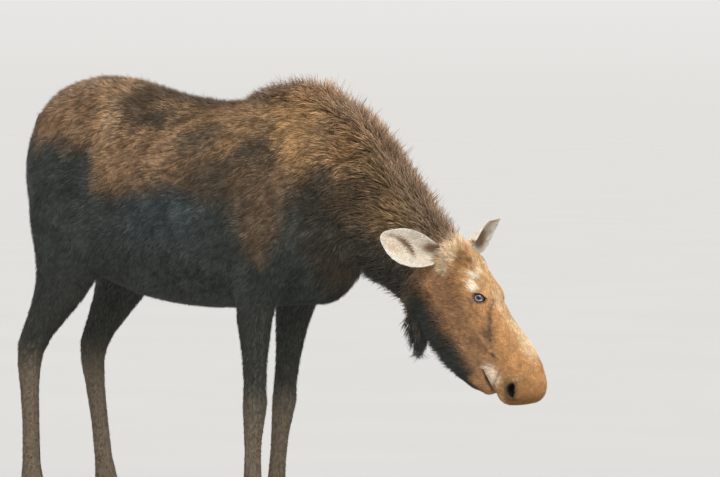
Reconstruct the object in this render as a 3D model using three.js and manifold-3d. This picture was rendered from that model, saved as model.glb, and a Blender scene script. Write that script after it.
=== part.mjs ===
// A life-size cow moose in winter coat, browsing with her head lowered.
//
// Millimetres, +Z up. She faces -Y and her left side is at +X. The origin is on the floor, at the
// middle of the animal's bounding box. Places are given as (forward, left, height) and turned into
// X, Y, Z by place(). The solids reach out to the tips of the coat.
import * as THREE from "three";
import { mergeVertices } from "three/addons/utils/BufferGeometryUtils.js";
import Module from "manifold-3d";

const wasm = await Module();
wasm.setup();

// ---- Driving dimensions -------------------------------------------------------------------------

const HUMP_HEIGHT = 1700; // floor to the top of the shoulder hump
const CROUP_HEIGHT = 1700;
const LOIN_HEIGHT = 1622;
const STERNUM_HEIGHT = 872;
const BELLY_HEIGHT = 835;
const RUMP_END = -1136; // last section of the trunk, behind the hump
const BARREL_HALF_WIDTH = 312;

const HEAD_LENGTH = 638; // nape to the front of the nose
const HEAD_PITCH = THREE.MathUtils.degToRad(56.5); // nose below the level
const HEAD_YAW = THREE.MathUtils.degToRad(6); // turned a little to her left
const POLL = { forward: 655, left: 18, height: 1140 };

const EYE_RADIUS = 19;
const EYE = { along: 246, side: 70, lift: -17 };

const EAR_LENGTH = 270;
const EAR_STUB = 34; // length of the ear's stalk that stays on the head

const KNEE_HEIGHT = 505;
const HOCK_HEIGHT = 640;
const TOE_SPREAD = 27; // centre of a toe from the middle of the foot
const GAP = 0.8; // width of the cuts between neighbouring pieces

// ---- Frames and surfaces ------------------------------------------------------------------------

const place = (forward, left, height) => new THREE.Vector3(left, -forward, height);
const LEFT = place(0, 1, 0);

// A point of the head: along from the nape to the nose, to her left, and lifted off the nape-nose line.
const headFrame = new THREE.Matrix4()
  .makeTranslation(place(POLL.forward, POLL.left, POLL.height))
  .multiply(new THREE.Matrix4().makeRotationZ(HEAD_YAW))
  .multiply(new THREE.Matrix4().makeRotationX(HEAD_PITCH));
const headPoint = (along, side, lift) => place(along, side, lift).applyMatrix4(headFrame);
const headDirection = (along, side, lift) => place(along, side, lift).transformDirection(headFrame);
const HEAD_LEFT = headDirection(0, 1, 0);

// A closed mesh as a solid that can be joined and cut.
function solid(geometry) {
  geometry.deleteAttribute("normal");
  geometry.deleteAttribute("uv");
  const merged = mergeVertices(geometry, 1e-3);
  return new wasm.Manifold(
    new wasm.Mesh({
      numProp: 3,
      vertProperties: merged.attributes.position.array,
      triVerts: new Uint32Array(merged.index.array),
    }),
  );
}

// Round section: its roof is the half towards the back of the animal (or the front of a leg).
// A sharpness over 1 draws that half to a ridge, and under 1 makes it fuller.
const roundSection = (roof, keel) => (angle, radii) => {
  const c = Math.cos(angle);
  const s = Math.sin(angle);
  const sharpness = s > 0 ? roof : keel;
  return [radii.x * Math.sign(c) * Math.abs(c) ** sharpness, s * (s > 0 ? radii.y : radii.z)];
};

// Cupped leaf, for an ear: radii are half the width, the depth of the cup and half the thickness.
const cupSection = (angle, radii) => {
  const s = Math.sin(angle);
  return [radii.x * Math.cos(angle), -radii.y * s * s + radii.z * s];
};

// A closed skin through stations along a spine, with rounded ends. Each station is
// [centre point, radius to the side, radius towards the roof, radius towards the keel].
function loft(stations, options) {
  const { around = 20, rings = 16, start = 20, end = 20, capRings = 2, left = LEFT, grow = 0, section } = options;
  const spine = new THREE.CatmullRomCurve3(stations.map((s) => s[0]));
  const sizes = new THREE.CatmullRomCurve3(stations.map((s) => new THREE.Vector3(s[1], s[2], s[3])));
  const shape = section ?? roundSection(1, 1);
  const geometry = new THREE.SphereGeometry(1, around, rings + 2 * capRings);
  const position = geometry.attributes.position;
  for (let i = 0; i < position.count; i++) {
    const ring = Math.floor(i / (around + 1));
    const angle = (-2 * Math.PI * (i % (around + 1))) / around;
    const t = THREE.MathUtils.clamp((ring - capRings) / rings, 0, 1);
    const centre = spine.getPoint(t);
    const radii = sizes.getPoint(t).addScalar(grow);
    const tangent = spine.getTangent(t);
    const roof = new THREE.Vector3().crossVectors(tangent, left).normalize();
    const side = new THREE.Vector3().crossVectors(roof, tangent);
    const before = Math.max(0, capRings - ring) / capRings;
    const after = Math.max(0, ring - capRings - rings) / capRings;
    const turn = ((before + after) * Math.PI) / 2;
    const reach = Math.sin(turn) * (before > 0 ? -start : end);
    const [x, y] = shape(angle, radii);
    centre
      .addScaledVector(tangent, reach)
      .addScaledVector(side, x * Math.cos(turn))
      .addScaledVector(roof, y * Math.cos(turn));
    position.setXYZ(i, centre.x, centre.y, centre.z);
  }
  return solid(geometry);
}

// An egg with its three half lengths along the head, to the side and off its line.
function egg(centre, along, side, lift, { frame = headFrame, around = 12 } = {}) {
  const geometry = new THREE.SphereGeometry(1, around, around / 2);
  geometry.scale(side, along, lift);
  geometry.applyMatrix4(new THREE.Matrix4().extractRotation(frame));
  geometry.translate(centre.x, centre.y, centre.z);
  return solid(geometry);
}

// A block that holds everything on the far side of a plane: its near face passes through a point
// and looks against the direction given. It is grown by half a cut on that face.
function beyond(point, direction, grow = 0, reach = 1500) {
  const geometry = new THREE.BoxGeometry(2 * reach, 2 * reach, reach);
  geometry.translate(0, 0, reach / 2 - grow);
  geometry.applyQuaternion(
    new THREE.Quaternion().setFromUnitVectors(new THREE.Vector3(0, 0, 1), direction.clone().normalize()),
  );
  geometry.translate(point.x, point.y, point.z);
  return solid(geometry);
}

const union = (solids) => solids.reduce((whole, next) => whole.add(next));
const common = (solids) => solids.reduce((shared, next) => shared.intersect(next));

// ---- Trunk, neck and tail -----------------------------------------------------------------------

// Sections across the trunk: [forward, top, height of the widest part, bottom, half width].
function trunkSolid(grow = 0) {
  const sections = [
    [RUMP_END, CROUP_HEIGHT - 62, 1330, 1075, 192],
    [-1020, CROUP_HEIGHT - 8, 1330, 1005, 245],
    [-870, CROUP_HEIGHT + 12, 1320, 950, 268],
    [-700, CROUP_HEIGHT - 32, 1280, 890, 285],
    [-540, LOIN_HEIGHT + 20, 1230, BELLY_HEIGHT + 12, BARREL_HALF_WIDTH - 6],
    [-380, LOIN_HEIGHT, 1195, BELLY_HEIGHT, BARREL_HALF_WIDTH],
    [-200, HUMP_HEIGHT - 46, 1180, BELLY_HEIGHT + 12, BARREL_HALF_WIDTH - 24],
    [-20, HUMP_HEIGHT, 1190, STERNUM_HEIGHT - 8, 250],
    [115, HUMP_HEIGHT - 8, 1190, STERNUM_HEIGHT - 8, 205],
  ];
  const stations = sections.map(([forward, top, level, bottom, wide]) => [
    place(forward, 0, level),
    wide,
    top - level,
    level - bottom,
  ]);
  return loft(stations, { around: 22, rings: 14, start: 75, end: 150, grow, section: roundSection(1.25, 0.95) });
}

function neckSolid(grow = 0) {
  const stations = [
    [place(-90, 0, 1330), 190, 320, 320],
    [place(60, 0, 1325), 200, 345, 320],
    [place(180, 0, 1290), 188, 312, 300],
    [place(330, 4, 1200), 152, 222, 222],
    [place(470, 10, 1085), 124, 190, 200],
    [place(590, 18, 985), 108, 165, 175],
  ];
  return loft(stations, { around: 18, rings: 8, start: 60, end: 50, grow, section: roundSection(1.45, 1.1) });
}

const TAIL_ROOT = place(-1194, 0, 1545);
const TAIL_STATIONS = [
  [place(-1150, 0, 1575), 40, 24, 24],
  [TAIL_ROOT, 38, 24, 24],
  [place(-1218, 0, 1480), 34, 19, 19],
  [place(-1222, 0, 1418), 20, 13, 13],
];
const tailSolid = () => loft(TAIL_STATIONS, { around: 10, rings: 6, start: 10, end: 24 });

// ---- Head ---------------------------------------------------------------------------------------

// Sections of the head: [along, top, lift of the widest part, bottom, half width].
function headLoft(sections, options) {
  const stations = sections.map(([along, top, level, bottom, wide]) => [
    headPoint(along, 0, level),
    wide,
    top - level,
    level - bottom,
  ]);
  return loft(stations, { left: HEAD_LEFT, ...options });
}

const skullSolid = (grow = 0) =>
  headLoft(
    [
      [-30, -8, -70, -160, 82],
      [60, 16, -66, -205, 94],
      [150, 25, -60, -225, 97],
      [245, 22, -60, -225, 94],
      [330, 16, -72, -210, 79],
      [410, 26, -78, -194, 67],
      [490, 36, -76, -180, 64],
      [560, 28, -78, -171, 67],
      [601, 5, -92, -176, 64],
      [626, -30, -104, -172, 48],
    ],
    { around: 18, rings: 12, start: 30, end: HEAD_LENGTH - 626, grow, section: roundSection(0.8, 0.6) },
  );

const jawSolid = (grow = 0) =>
  headLoft(
    [
      [50, -80, -150, -230, 78],
      [150, -90, -170, -291, 84],
      [245, -100, -185, -316, 76],
      [340, -110, -190, -306, 60],
      [430, -120, -182, -272, 50],
      [505, -130, -178, -226, 46],
    ],
    { around: 14, rings: 8, start: 40, end: 44, grow, section: roundSection(0.5, 1.05) },
  );

// Brows and nostril flares, on both sides.
function headSwellings() {
  const swellings = [];
  for (const side of [-1, 1]) {
    swellings.push(egg(headPoint(226, 56 * side, -1), 54, 18, 19, { around: 10 }));
    swellings.push(egg(headPoint(596, 50 * side, -72), 44, 26, 42, { around: 9 }));
  }
  return union(swellings);
}

const nostril = (side) => egg(headPoint(586, 78 * side, -92), 26, 20, 16, { around: 10 });

const eyeBall = (side, grow = 0) => {
  const geometry = new THREE.SphereGeometry(EYE_RADIUS + grow, 12, 8);
  const centre = headPoint(EYE.along, EYE.side * side, EYE.lift);
  geometry.translate(centre.x, centre.y, centre.z);
  return solid(geometry);
};

// Each ear runs out from the nape's corner: where it points, where its cup opens to, its share of the
// full width, and how far its middle bows down.
const EARS = {
  right: { root: [56, -80, -50], points: [-0.55, -0.775, -0.31], opens: [0.54, -0.6, 0.58], spread: 1.1, bow: 13 },
  left: { root: [62, 82, -26], points: [-0.417, 0.87, 0.264], opens: [0.66, 0.22, 0.7], spread: 1, bow: 0 },
};

function earLoft({ root: rootPlace, points, opens, spread, bow }) {
  const root = headPoint(...rootPlace);
  const direction = headDirection(...points);
  const across = new THREE.Vector3().crossVectors(headDirection(...opens), direction).normalize();
  const at = (share) =>
    root
      .clone()
      .addScaledVector(direction, share * EAR_LENGTH)
      .addScaledVector(across, bow * Math.sin(Math.PI * Math.max(0, share)));
  const stations = [
    [at(-0.12), 30, 18, 16],
    [at(0.1), 34, 34, 12],
    [at(0.28), 50 * spread, 36, 7],
    [at(0.5), 63 * spread, 30, 5],
    [at(0.7), 60 * spread, 22, 4.5],
    [at(0.86), 42 * spread, 12, 4.5],
    [at(0.96), 21 * spread, 5, 4],
  ];
  return {
    whole: loft(stations, { around: 14, rings: 9, start: 6, end: 10, left: across, section: cupSection }),
    stub: root.clone().addScaledVector(direction, EAR_STUB),
    direction,
  };
}

// The bell: the tassel of skin and long hair under the throat.
const BELL_CUT = place(480, 12, 846);
const BELL_STATIONS = [
  [place(470, 12, 905), 26, 60, 52],
  [BELL_CUT, 28, 64, 46],
  [place(488, 12, 782), 22, 50, 34],
  [place(494, 12, 732), 13, 30, 20],
];
const bellSolid = () => loft(BELL_STATIONS, { around: 10, rings: 6, start: 20, end: 26 });

// ---- Legs ---------------------------------------------------------------------------------------

// Sections down a leg: [forward, out from the middle, height, to the side, to the front, to the back].
const FORELEG = [
  [0, 100, 1470, 62, 120, 120],
  [8, 142, 1330, 92, 160, 160],
  [12, 160, 1160, 98, 176, 178],
  [-52, 166, 1010, 84, 128, 122],
  [-92, 162, 880, 66, 88, 92],
  [-102, 155, 740, 53, 63, 62],
  [-108, 150, 590, 43, 49, 49],
  [-110, 150, KNEE_HEIGHT, 47, 53, 49],
  [-116, 150, 425, 35, 38, 41],
  [-120, 150, 315, 31, 33, 37],
  [-122, 150, 205, 34, 37, 41],
  [-118, 150, 158, 41, 45, 48],
  [-100, 150, 110, 38, 40, 42],
  [-84, 150, 66, 49, 52, 46],
];
const HINDLEG = [
  [-930, 105, 1520, 76, 165, 170],
  [-950, 146, 1400, 100, 222, 205],
  [-950, 162, 1235, 112, 222, 215],
  [-945, 168, 1095, 103, 183, 205],
  [-968, 164, 970, 84, 138, 158],
  [-1022, 156, 855, 61, 90, 112],
  [-1090, 150, 750, 47, 62, 80],
  [-1132, 148, 665, 43, 56, 72],
  [-1134, 148, 590, 37, 43, 52],
  [-1120, 148, 430, 32, 35, 40],
  [-1106, 148, 250, 34, 37, 41],
  [-1096, 148, 165, 41, 45, 49],
  [-1078, 148, 112, 38, 40, 42],
  [-1062, 148, 66, 49, 52, 46],
];

// Set is how far the whole leg stands ahead of the plain stance, and swing how much further the
// foot does, less and less up to the pivot.
const LEGS = {
  fore_right: { sections: FORELEG, side: -1, set: -18, swing: 40, pivot: 1150, joint: KNEE_HEIGHT },
  fore_left: { sections: FORELEG, side: 1, set: -45, swing: -60, pivot: 1150, joint: KNEE_HEIGHT },
  hind_right: { sections: HINDLEG, side: -1, set: 25, swing: -50, pivot: 1250, joint: HOCK_HEIGHT },
  hind_left: { sections: HINDLEG, side: 1, set: 25, swing: 90, pivot: 1250, joint: HOCK_HEIGHT },
};

function legStations({ sections, side, set, swing, pivot }) {
  return sections.map(([forward, out, height, wide, front, back]) => {
    const shift = set + (swing * Math.max(0, pivot - height)) / pivot;
    return [place(forward + shift, out * side, height), wide, front, back];
  });
}

const legLoft = (leg, grow = 0) =>
  loft(legStations(leg), { around: 12, rings: 17, start: 50, end: 12, grow });

// The coronet is the sloping band where hair ends and horn begins.
const CORONET_RISE = 56;
function coronet(leg) {
  const foot = legStations(leg).at(-1)[0];
  return { foot, point: new THREE.Vector3(foot.x, foot.y, CORONET_RISE), down: place(0.32, 0, -1).normalize() };
}

// One toe's hoof: a wedge with a flat sole, cut off under the coronet.
function hoofSolid(leg, inner) {
  const { foot, point, down } = coronet(leg);
  const left = foot.x + TOE_SPREAD * inner;
  const forward = -foot.y;
  const splay = 7 * inner;
  const stations = [
    [place(forward - 44, left, 24), 22, 30, 34],
    [place(forward - 12, left, 26), 25, 50, 50],
    [place(forward + 34, left + splay * 0.3, 24), 25.5, 54, 50],
    [place(forward + 66, left + splay * 0.7, 14), 19, 30, 34],
    [place(forward + 88, left + splay, 6), 10, 12, 16],
  ];
  return loft(stations, { around: 8, rings: 6, start: 12, end: 8, section: roundSection(0.7, 0.7) })
    .subtract(beyond(place(0, 0, 0), place(0, 0, -1)))
    .intersect(beyond(point, down));
}

// A dewclaw behind the pastern.
function dewclawSolid(leg, inner) {
  const [fetlock] = legStations(leg).at(-3);
  const tip = new THREE.Matrix4().makeRotationX(THREE.MathUtils.degToRad(-25));
  const claw = egg(place(-fetlock.y - 33, fetlock.x + 23 * inner, 100), 16, 13, 27, { frame: tip, around: 8 });
  return claw.subtract(legLoft(leg, GAP));
}

// ---- The whole body, and the cuts that part it --------------------------------------------------

const earParts = Object.fromEntries(Object.entries(EARS).map(([name, ear]) => [name, earLoft(ear)]));
const earStubs = Object.values(earParts).map(({ whole, stub, direction }) =>
  whole.subtract(beyond(stub, direction, GAP / 2)),
);
const tailCutDirection = TAIL_STATIONS[2][0].clone().sub(TAIL_STATIONS[0][0]).normalize();

let flesh = union([
  trunkSolid(),
  neckSolid(),
  skullSolid(),
  jawSolid(),
  headSwellings(),
  ...earStubs,
  tailSolid().subtract(beyond(TAIL_ROOT, tailCutDirection, GAP / 2, 200)),
  bellSolid().subtract(beyond(BELL_CUT, place(0, 0, -1), GAP / 2)),
  ...Object.values(LEGS).map((leg) => legLoft(leg).subtract(beyond(coronet(leg).point, coronet(leg).down, GAP / 2))),
]);
for (const side of [-1, 1]) {
  flesh = flesh.subtract(eyeBall(side, GAP / 2)).subtract(nostril(side));
}

const pieces = new Map();

// Takes what lies in a zone out of the flesh as a named piece. The zone is made with its growth.
function part(name, zone) {
  pieces.set(name, flesh.intersect(zone(-GAP / 2)));
  flesh = flesh.subtract(zone(GAP / 2));
}

// Lower legs first, then the upper legs, whose cuts rise outwards over the elbow and the stifle.
const MID_BELLY = -600;
const UPPER_CUTS = {
  fore: { elbow: [0, 34, 930], tilt: [0, 0.42, -0.9], rear: -262, front: 96, between: 1 },
  hind: { elbow: [-960, 34, 1015], tilt: [-0.2, 0.5, -0.85], rear: -1400, front: -768, between: -1 },
};
for (const [name, { side, joint }] of Object.entries(LEGS)) {
  const { elbow, tilt, rear, front, between } = UPPER_CUTS[name.slice(0, 4)];
  const inner = elbow[1] * side;
  const limb = (grow) =>
    common([
      beyond(place(elbow[0], inner, elbow[2]), place(tilt[0], tilt[1] * side, tilt[2]), grow),
      beyond(place(0, inner, 0), place(0, side, 0), grow),
      beyond(place(rear, 0, 0), place(1, 0, 0), grow),
      beyond(place(front, 0, 0), place(-1, 0, 0), grow),
    ]);
  const foot = (grow) =>
    common([
      beyond(place(0, 0, joint), place(0, 0, -1), grow),
      beyond(place(0, 0, 0), place(0, side, 0), grow),
      beyond(place(MID_BELLY, 0, 0), place(between, 0, 0), grow),
    ]);
  part(`${name}_lower_leg`, foot);
  part(`${name}_upper_leg`, limb);
}
part("head", (grow) => beyond(place(545, 0, 1000), place(0.83, 0.07, -0.555), grow));
part("neck", (grow) => beyond(place(200, 0, 1330), place(0.987, 0, 0.162), grow));
pieces.set("trunk", flesh);
pieces.set(
  "tail",
  tailSolid().intersect(beyond(TAIL_ROOT, tailCutDirection, -GAP / 2, 200)).subtract(trunkSolid(GAP)),
);
pieces.set("bell", bellSolid().intersect(beyond(BELL_CUT, place(0, 0, -1), -GAP / 2)).subtract(jawSolid(GAP)));
for (const [name, { whole, stub, direction }] of Object.entries(earParts)) {
  const clear = union([skullSolid(GAP), neckSolid(GAP)]);
  pieces.set(`ear_${name}`, whole.intersect(beyond(stub, direction, -GAP / 2)).subtract(clear));
}
pieces.set("eye_right", eyeBall(-1));
pieces.set("eye_left", eyeBall(1));
for (const [name, leg] of Object.entries(LEGS)) {
  for (const [toe, inner] of [["outer", leg.side], ["inner", -leg.side]]) {
    pieces.set(`${name}_${toe}_hoof`, hoofSolid(leg, inner));
    pieces.set(`${name}_${toe}_dewclaw`, dewclawSolid(leg, inner));
  }
}

// ---- Materials and the scene graph --------------------------------------------------------------

const coat = (color) => new THREE.MeshStandardMaterial({ color, roughness: 0.9, metalness: 0 });
const DARK_COAT = coat(0x2c211b);
const MANE = coat(0x3d2c20);
const FACE = coat(0x8a5a36);
const PALE_LEG = coat(0x6b5c50);
const EAR_HAIR = coat(0xb9a48c);
const HORN = new THREE.MeshStandardMaterial({ color: 0x1e1a17, roughness: 0.55, metalness: 0 });
const EYE_GLASS = new THREE.MeshStandardMaterial({ color: 0x1a0f0a, roughness: 0.1, metalness: 0 });

function materialOf(name) {
  if (/hoof|dewclaw/.test(name)) return HORN;
  if (name.startsWith("eye")) return EYE_GLASS;
  if (name.startsWith("ear")) return EAR_HAIR;
  if (name.endsWith("lower_leg")) return PALE_LEG;
  if (name === "head") return FACE;
  return name === "neck" ? MANE : DARK_COAT;
}

const moose = new THREE.Group();
for (const [name, piece] of pieces) {
  const { vertProperties, triVerts } = piece.getMesh();
  const geometry = new THREE.BufferGeometry()
    .setAttribute("position", new THREE.BufferAttribute(vertProperties, 3))
    .setIndex(new THREE.BufferAttribute(triVerts, 1));
  geometry.computeVertexNormals();
  const mesh = new THREE.Mesh(geometry, materialOf(name));
  mesh.name = name;
  moose.add(mesh);
}

// The frame's origin is under the middle of the whole.
const middle = new THREE.Box3().setFromObject(moose).getCenter(new THREE.Vector3());
moose.position.set(-middle.x, -middle.y, 0);

export default moose;
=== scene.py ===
"""A browsing cow moose in winter coat: one skin under a meshed coat, with eyes and hooves, on a pale floor.

Metres, +Z up. She faces -Y and her left side is at +X. Body places are (forward, left, height) from the
withers, and head places are (along, side, lift): from the nape to the nose, to her left, and off that line.
"""

import copy
import math

import bmesh
import bpy
import numpy as np
from mathutils import Matrix, Vector
from mathutils.bvhtree import BVHTree
from mathutils.geometry import barycentric_transform


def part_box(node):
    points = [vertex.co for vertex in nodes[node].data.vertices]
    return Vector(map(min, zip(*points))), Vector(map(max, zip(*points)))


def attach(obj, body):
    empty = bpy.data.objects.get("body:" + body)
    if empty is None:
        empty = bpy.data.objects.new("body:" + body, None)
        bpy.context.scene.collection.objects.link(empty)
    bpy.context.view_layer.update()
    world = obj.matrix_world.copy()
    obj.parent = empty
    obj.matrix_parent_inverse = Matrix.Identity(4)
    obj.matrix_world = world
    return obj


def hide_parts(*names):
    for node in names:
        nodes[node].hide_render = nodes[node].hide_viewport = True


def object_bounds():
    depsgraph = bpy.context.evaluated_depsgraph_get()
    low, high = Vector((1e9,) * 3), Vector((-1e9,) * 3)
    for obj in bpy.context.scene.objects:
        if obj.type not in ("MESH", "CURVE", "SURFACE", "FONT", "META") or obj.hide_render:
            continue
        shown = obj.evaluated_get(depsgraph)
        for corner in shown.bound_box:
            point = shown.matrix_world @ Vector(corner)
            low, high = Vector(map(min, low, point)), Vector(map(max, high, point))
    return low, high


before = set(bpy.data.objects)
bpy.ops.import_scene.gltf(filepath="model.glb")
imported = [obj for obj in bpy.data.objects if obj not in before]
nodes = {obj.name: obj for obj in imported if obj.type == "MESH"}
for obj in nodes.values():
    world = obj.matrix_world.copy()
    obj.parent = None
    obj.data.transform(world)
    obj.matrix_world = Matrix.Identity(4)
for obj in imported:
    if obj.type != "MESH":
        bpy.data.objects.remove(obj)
cad_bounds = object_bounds()

# ---- Landmarks ----------------------------------------------------------------------------------

HEAD_PITCH = math.radians(56.5)  # nose below the level, as the solids have it
EYE_ALONG, EYE_LIFT = 0.246, -0.017  # the eyes' place on the head
POLL_FORWARD, POLL_LEFT = 0.655, 0.018  # the nape's place ahead of the withers


def middle(node):
    """Middle of a node's solid."""
    low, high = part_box(node)
    return np.array((low + high) / 2)


def box_corners(node):
    """Lowest and highest corner of a node's solid."""
    return [np.array(corner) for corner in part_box(node)]


UP = np.array([0.0, 0.0, 1.0])
eye_right, eye_left = middle("eye_right"), middle("eye_left")
EYE_APART = np.linalg.norm(eye_left - eye_right)
EYE_RADIUS = (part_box("eye_left")[1][2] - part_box("eye_left")[0][2]) / 2
SIDE = (eye_left - eye_right) / EYE_APART
level_ahead = np.cross(SIDE, UP)
ALONG = level_ahead * math.cos(HEAD_PITCH) - UP * math.sin(HEAD_PITCH)
LIFT = level_ahead * math.sin(HEAD_PITCH) + UP * math.cos(HEAD_PITCH)
POLL = (eye_left + eye_right) / 2 - ALONG * EYE_ALONG - LIFT * EYE_LIFT
WITHERS = np.array([POLL[0] - POLL_LEFT, POLL[1] + POLL_FORWARD, 0.0])


def body_point(forward, left, height):
    return WITHERS + np.array([left, -forward, height])


def body_places(points):
    """Forward, left and height of each point."""
    away = points - WITHERS
    return -away[:, 1], away[:, 0], away[:, 2]


def head_point(along, side, lift):
    return head_direction(along, side, lift) + POLL


def head_direction(along, side, lift):
    return ALONG * along + SIDE * side + LIFT * lift


def head_places(points):
    """Along, side and lift of each point."""
    away = points - POLL
    return away @ ALONG, away @ SIDE, away @ LIFT


# ---- Small tools --------------------------------------------------------------------------------


def ramp(value, low, high):
    """0 below low, 1 above high, and a smooth rise between. It falls where high is under low."""
    share = np.clip((value - low) / (high - low), 0, 1)
    return share * share * (3 - 2 * share)


def near(points, centre, radii):
    """1 at the centre, falling smoothly to 0 on an ellipsoid whose half axes are the radii."""
    reach = np.linalg.norm((points - centre) / radii, axis=1)
    return ramp(reach, 1.0, 0.0)


def unit(vectors):
    return vectors / np.maximum(np.linalg.norm(vectors, axis=1, keepdims=True), 1e-9)


def layered(base, *layers):
    """A value with others laid over it in turn: each layer is its share, from 0 to 1, and its value."""
    for share, value in layers:
        base = base * (1 - share) + value * share
    return base


def coordinates(mesh):
    flat = np.empty(len(mesh.vertices) * 3, np.float32)
    mesh.vertices.foreach_get("co", flat)
    return flat.reshape(-1, 3).astype(float)


def set_coordinates(mesh, points):
    mesh.vertices.foreach_set("co", points.astype(np.float32).ravel())
    mesh.update()


def normals(mesh):
    flat = np.empty(len(mesh.vertices) * 3, np.float32)
    mesh.vertex_normals.foreach_get("vector", flat)
    return flat.reshape(-1, 3).astype(float)


def triangle_corners(mesh):
    """The three corners of each of a mesh's triangles."""
    mesh.calc_loop_triangles()
    corners = np.empty(len(mesh.loop_triangles) * 3, np.int32)
    mesh.loop_triangles.foreach_get("vertices", corners)
    return corners.reshape(-1, 3)


def add_object(name, mesh):
    piece = bpy.data.objects.new(name, mesh)
    bpy.context.scene.collection.objects.link(piece)
    return piece


def with_modifiers(piece):
    """The piece with its modifiers applied."""
    depsgraph = bpy.context.evaluated_depsgraph_get()
    finished = bpy.data.meshes.new_from_object(piece.evaluated_get(depsgraph))
    piece.modifiers.clear()
    piece.data = finished
    return piece


def even_quads(name, solid, voxel):
    """The shape in a bmesh as a closed piece of even quads of this size."""
    mesh = bpy.data.meshes.new(name)
    solid.to_mesh(mesh)
    solid.free()
    piece = add_object(name, mesh)
    remesh = piece.modifiers.new("even quads", "REMESH")
    remesh.mode = "VOXEL"
    remesh.voxel_size = voxel
    return with_modifiers(piece)


def shade_smooth(mesh):
    mesh.polygons.foreach_set("use_smooth", np.ones(len(mesh.polygons), bool))
    mesh.update()


class Relaxer:
    """Evens out a mesh: each vertex moves towards the middle of its neighbours."""

    STEP = 0.6  # how much of the way a vertex moves in a round

    def __init__(self, mesh):
        ends = np.empty(len(mesh.edges) * 2, np.int32)
        mesh.edges.foreach_get("vertices", ends)
        self.a, self.b = ends.reshape(-1, 2).T
        self.count = len(mesh.vertices)
        links = np.bincount(self.a, minlength=self.count) + np.bincount(self.b, minlength=self.count)
        self.links = np.maximum(links, 1)

    def mean(self, values):
        """For each vertex, the middle of its neighbours' values."""
        total = np.bincount(self.a, values[self.b], self.count)
        total += np.bincount(self.b, values[self.a], self.count)
        return total / self.links

    def relax(self, points, weight, rounds):
        points = points.copy()
        for _ in range(rounds):
            for axis in range(3):
                value = points[:, axis]
                value += self.STEP * weight * (self.mean(value) - value)
        return points

    def even(self, values, rounds):
        for _ in range(rounds):
            values = 0.5 * values + 0.5 * self.mean(values)
        return values


# ---- Where things are on the animal -------------------------------------------------------------

HEAD_CUT = body_point(0.545, 0, 1.0)
HEAD_CUT_DIRECTION = np.array([0.07, -0.83, -0.555])
NECK_CUT = body_point(0.2, 0, 1.33)
NECK_CUT_DIRECTION = np.array([0.0, -0.987, 0.162])
EAR_LENGTH = 0.270
EAR_BOW = {"ear_right": 0.013, "ear_left": 0.0}  # how far the middle of each ear bends aside
# Each ear: its root on the head, where it points, and where its cup opens to.
EARS = {
    "ear_right": (head_point(0.056, -0.080, -0.050), (-0.550, -0.775, -0.310), (0.54, -0.60, 0.58)),
    "ear_left": (head_point(0.062, 0.082, -0.026), (-0.417, 0.870, 0.264), (0.66, 0.22, 0.70)),
}
EYES = {"eye_right": -1, "eye_left": 1}  # each eye and the sign of its side
HORN = [name for name in nodes if "hoof" in name or "claw" in name]
FLESH = [name for name in nodes if name not in EYES and name not in HORN]

MID_BARREL = -0.55  # forward place that parts the fore legs from the hind legs
# Heights where the legs' coat begins and where it is full, on the fore and on the hind legs.
LEG_COAT = ((0.98, 0.80), (1.12, 0.78))
SHANK_COAT = ((0.62, 0.44), (0.74, 0.56))
FOOT_TOP, FOOT_FULL = 0.24, 0.13  # the same of the feet


def neck_line(forward):
    """Height of the neck's middle line, which slopes from the withers to the head."""
    return 1.33 - 0.62 * np.clip(forward, 0, 1)


def solid_tree(name):
    """Search tree over a node's solid."""
    mesh = nodes[name].data
    faces = [tuple(face.vertices) for face in mesh.polygons]
    return BVHTree.FromPolygons([vertex.co for vertex in mesh.vertices], faces)


def near_box(points, name, reach):
    """Numbers of the points within this reach of a node's box."""
    low, high = box_corners(name)
    return np.flatnonzero(np.all((points > low - reach) & (points < high + reach), axis=1))


ON_SOLID = 0.004  # a point this close to a solid lies on it


def node_share(points, name):
    """1 for each point that lies on this node's solid, and 0 for the others."""
    tree = solid_tree(name)
    share = np.zeros(len(points))
    for index in near_box(points, name, ON_SOLID):
        if tree.find_nearest(Vector(points[index]), ON_SOLID)[0] is not None:
            share[index] = 1.0
    return share


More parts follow.
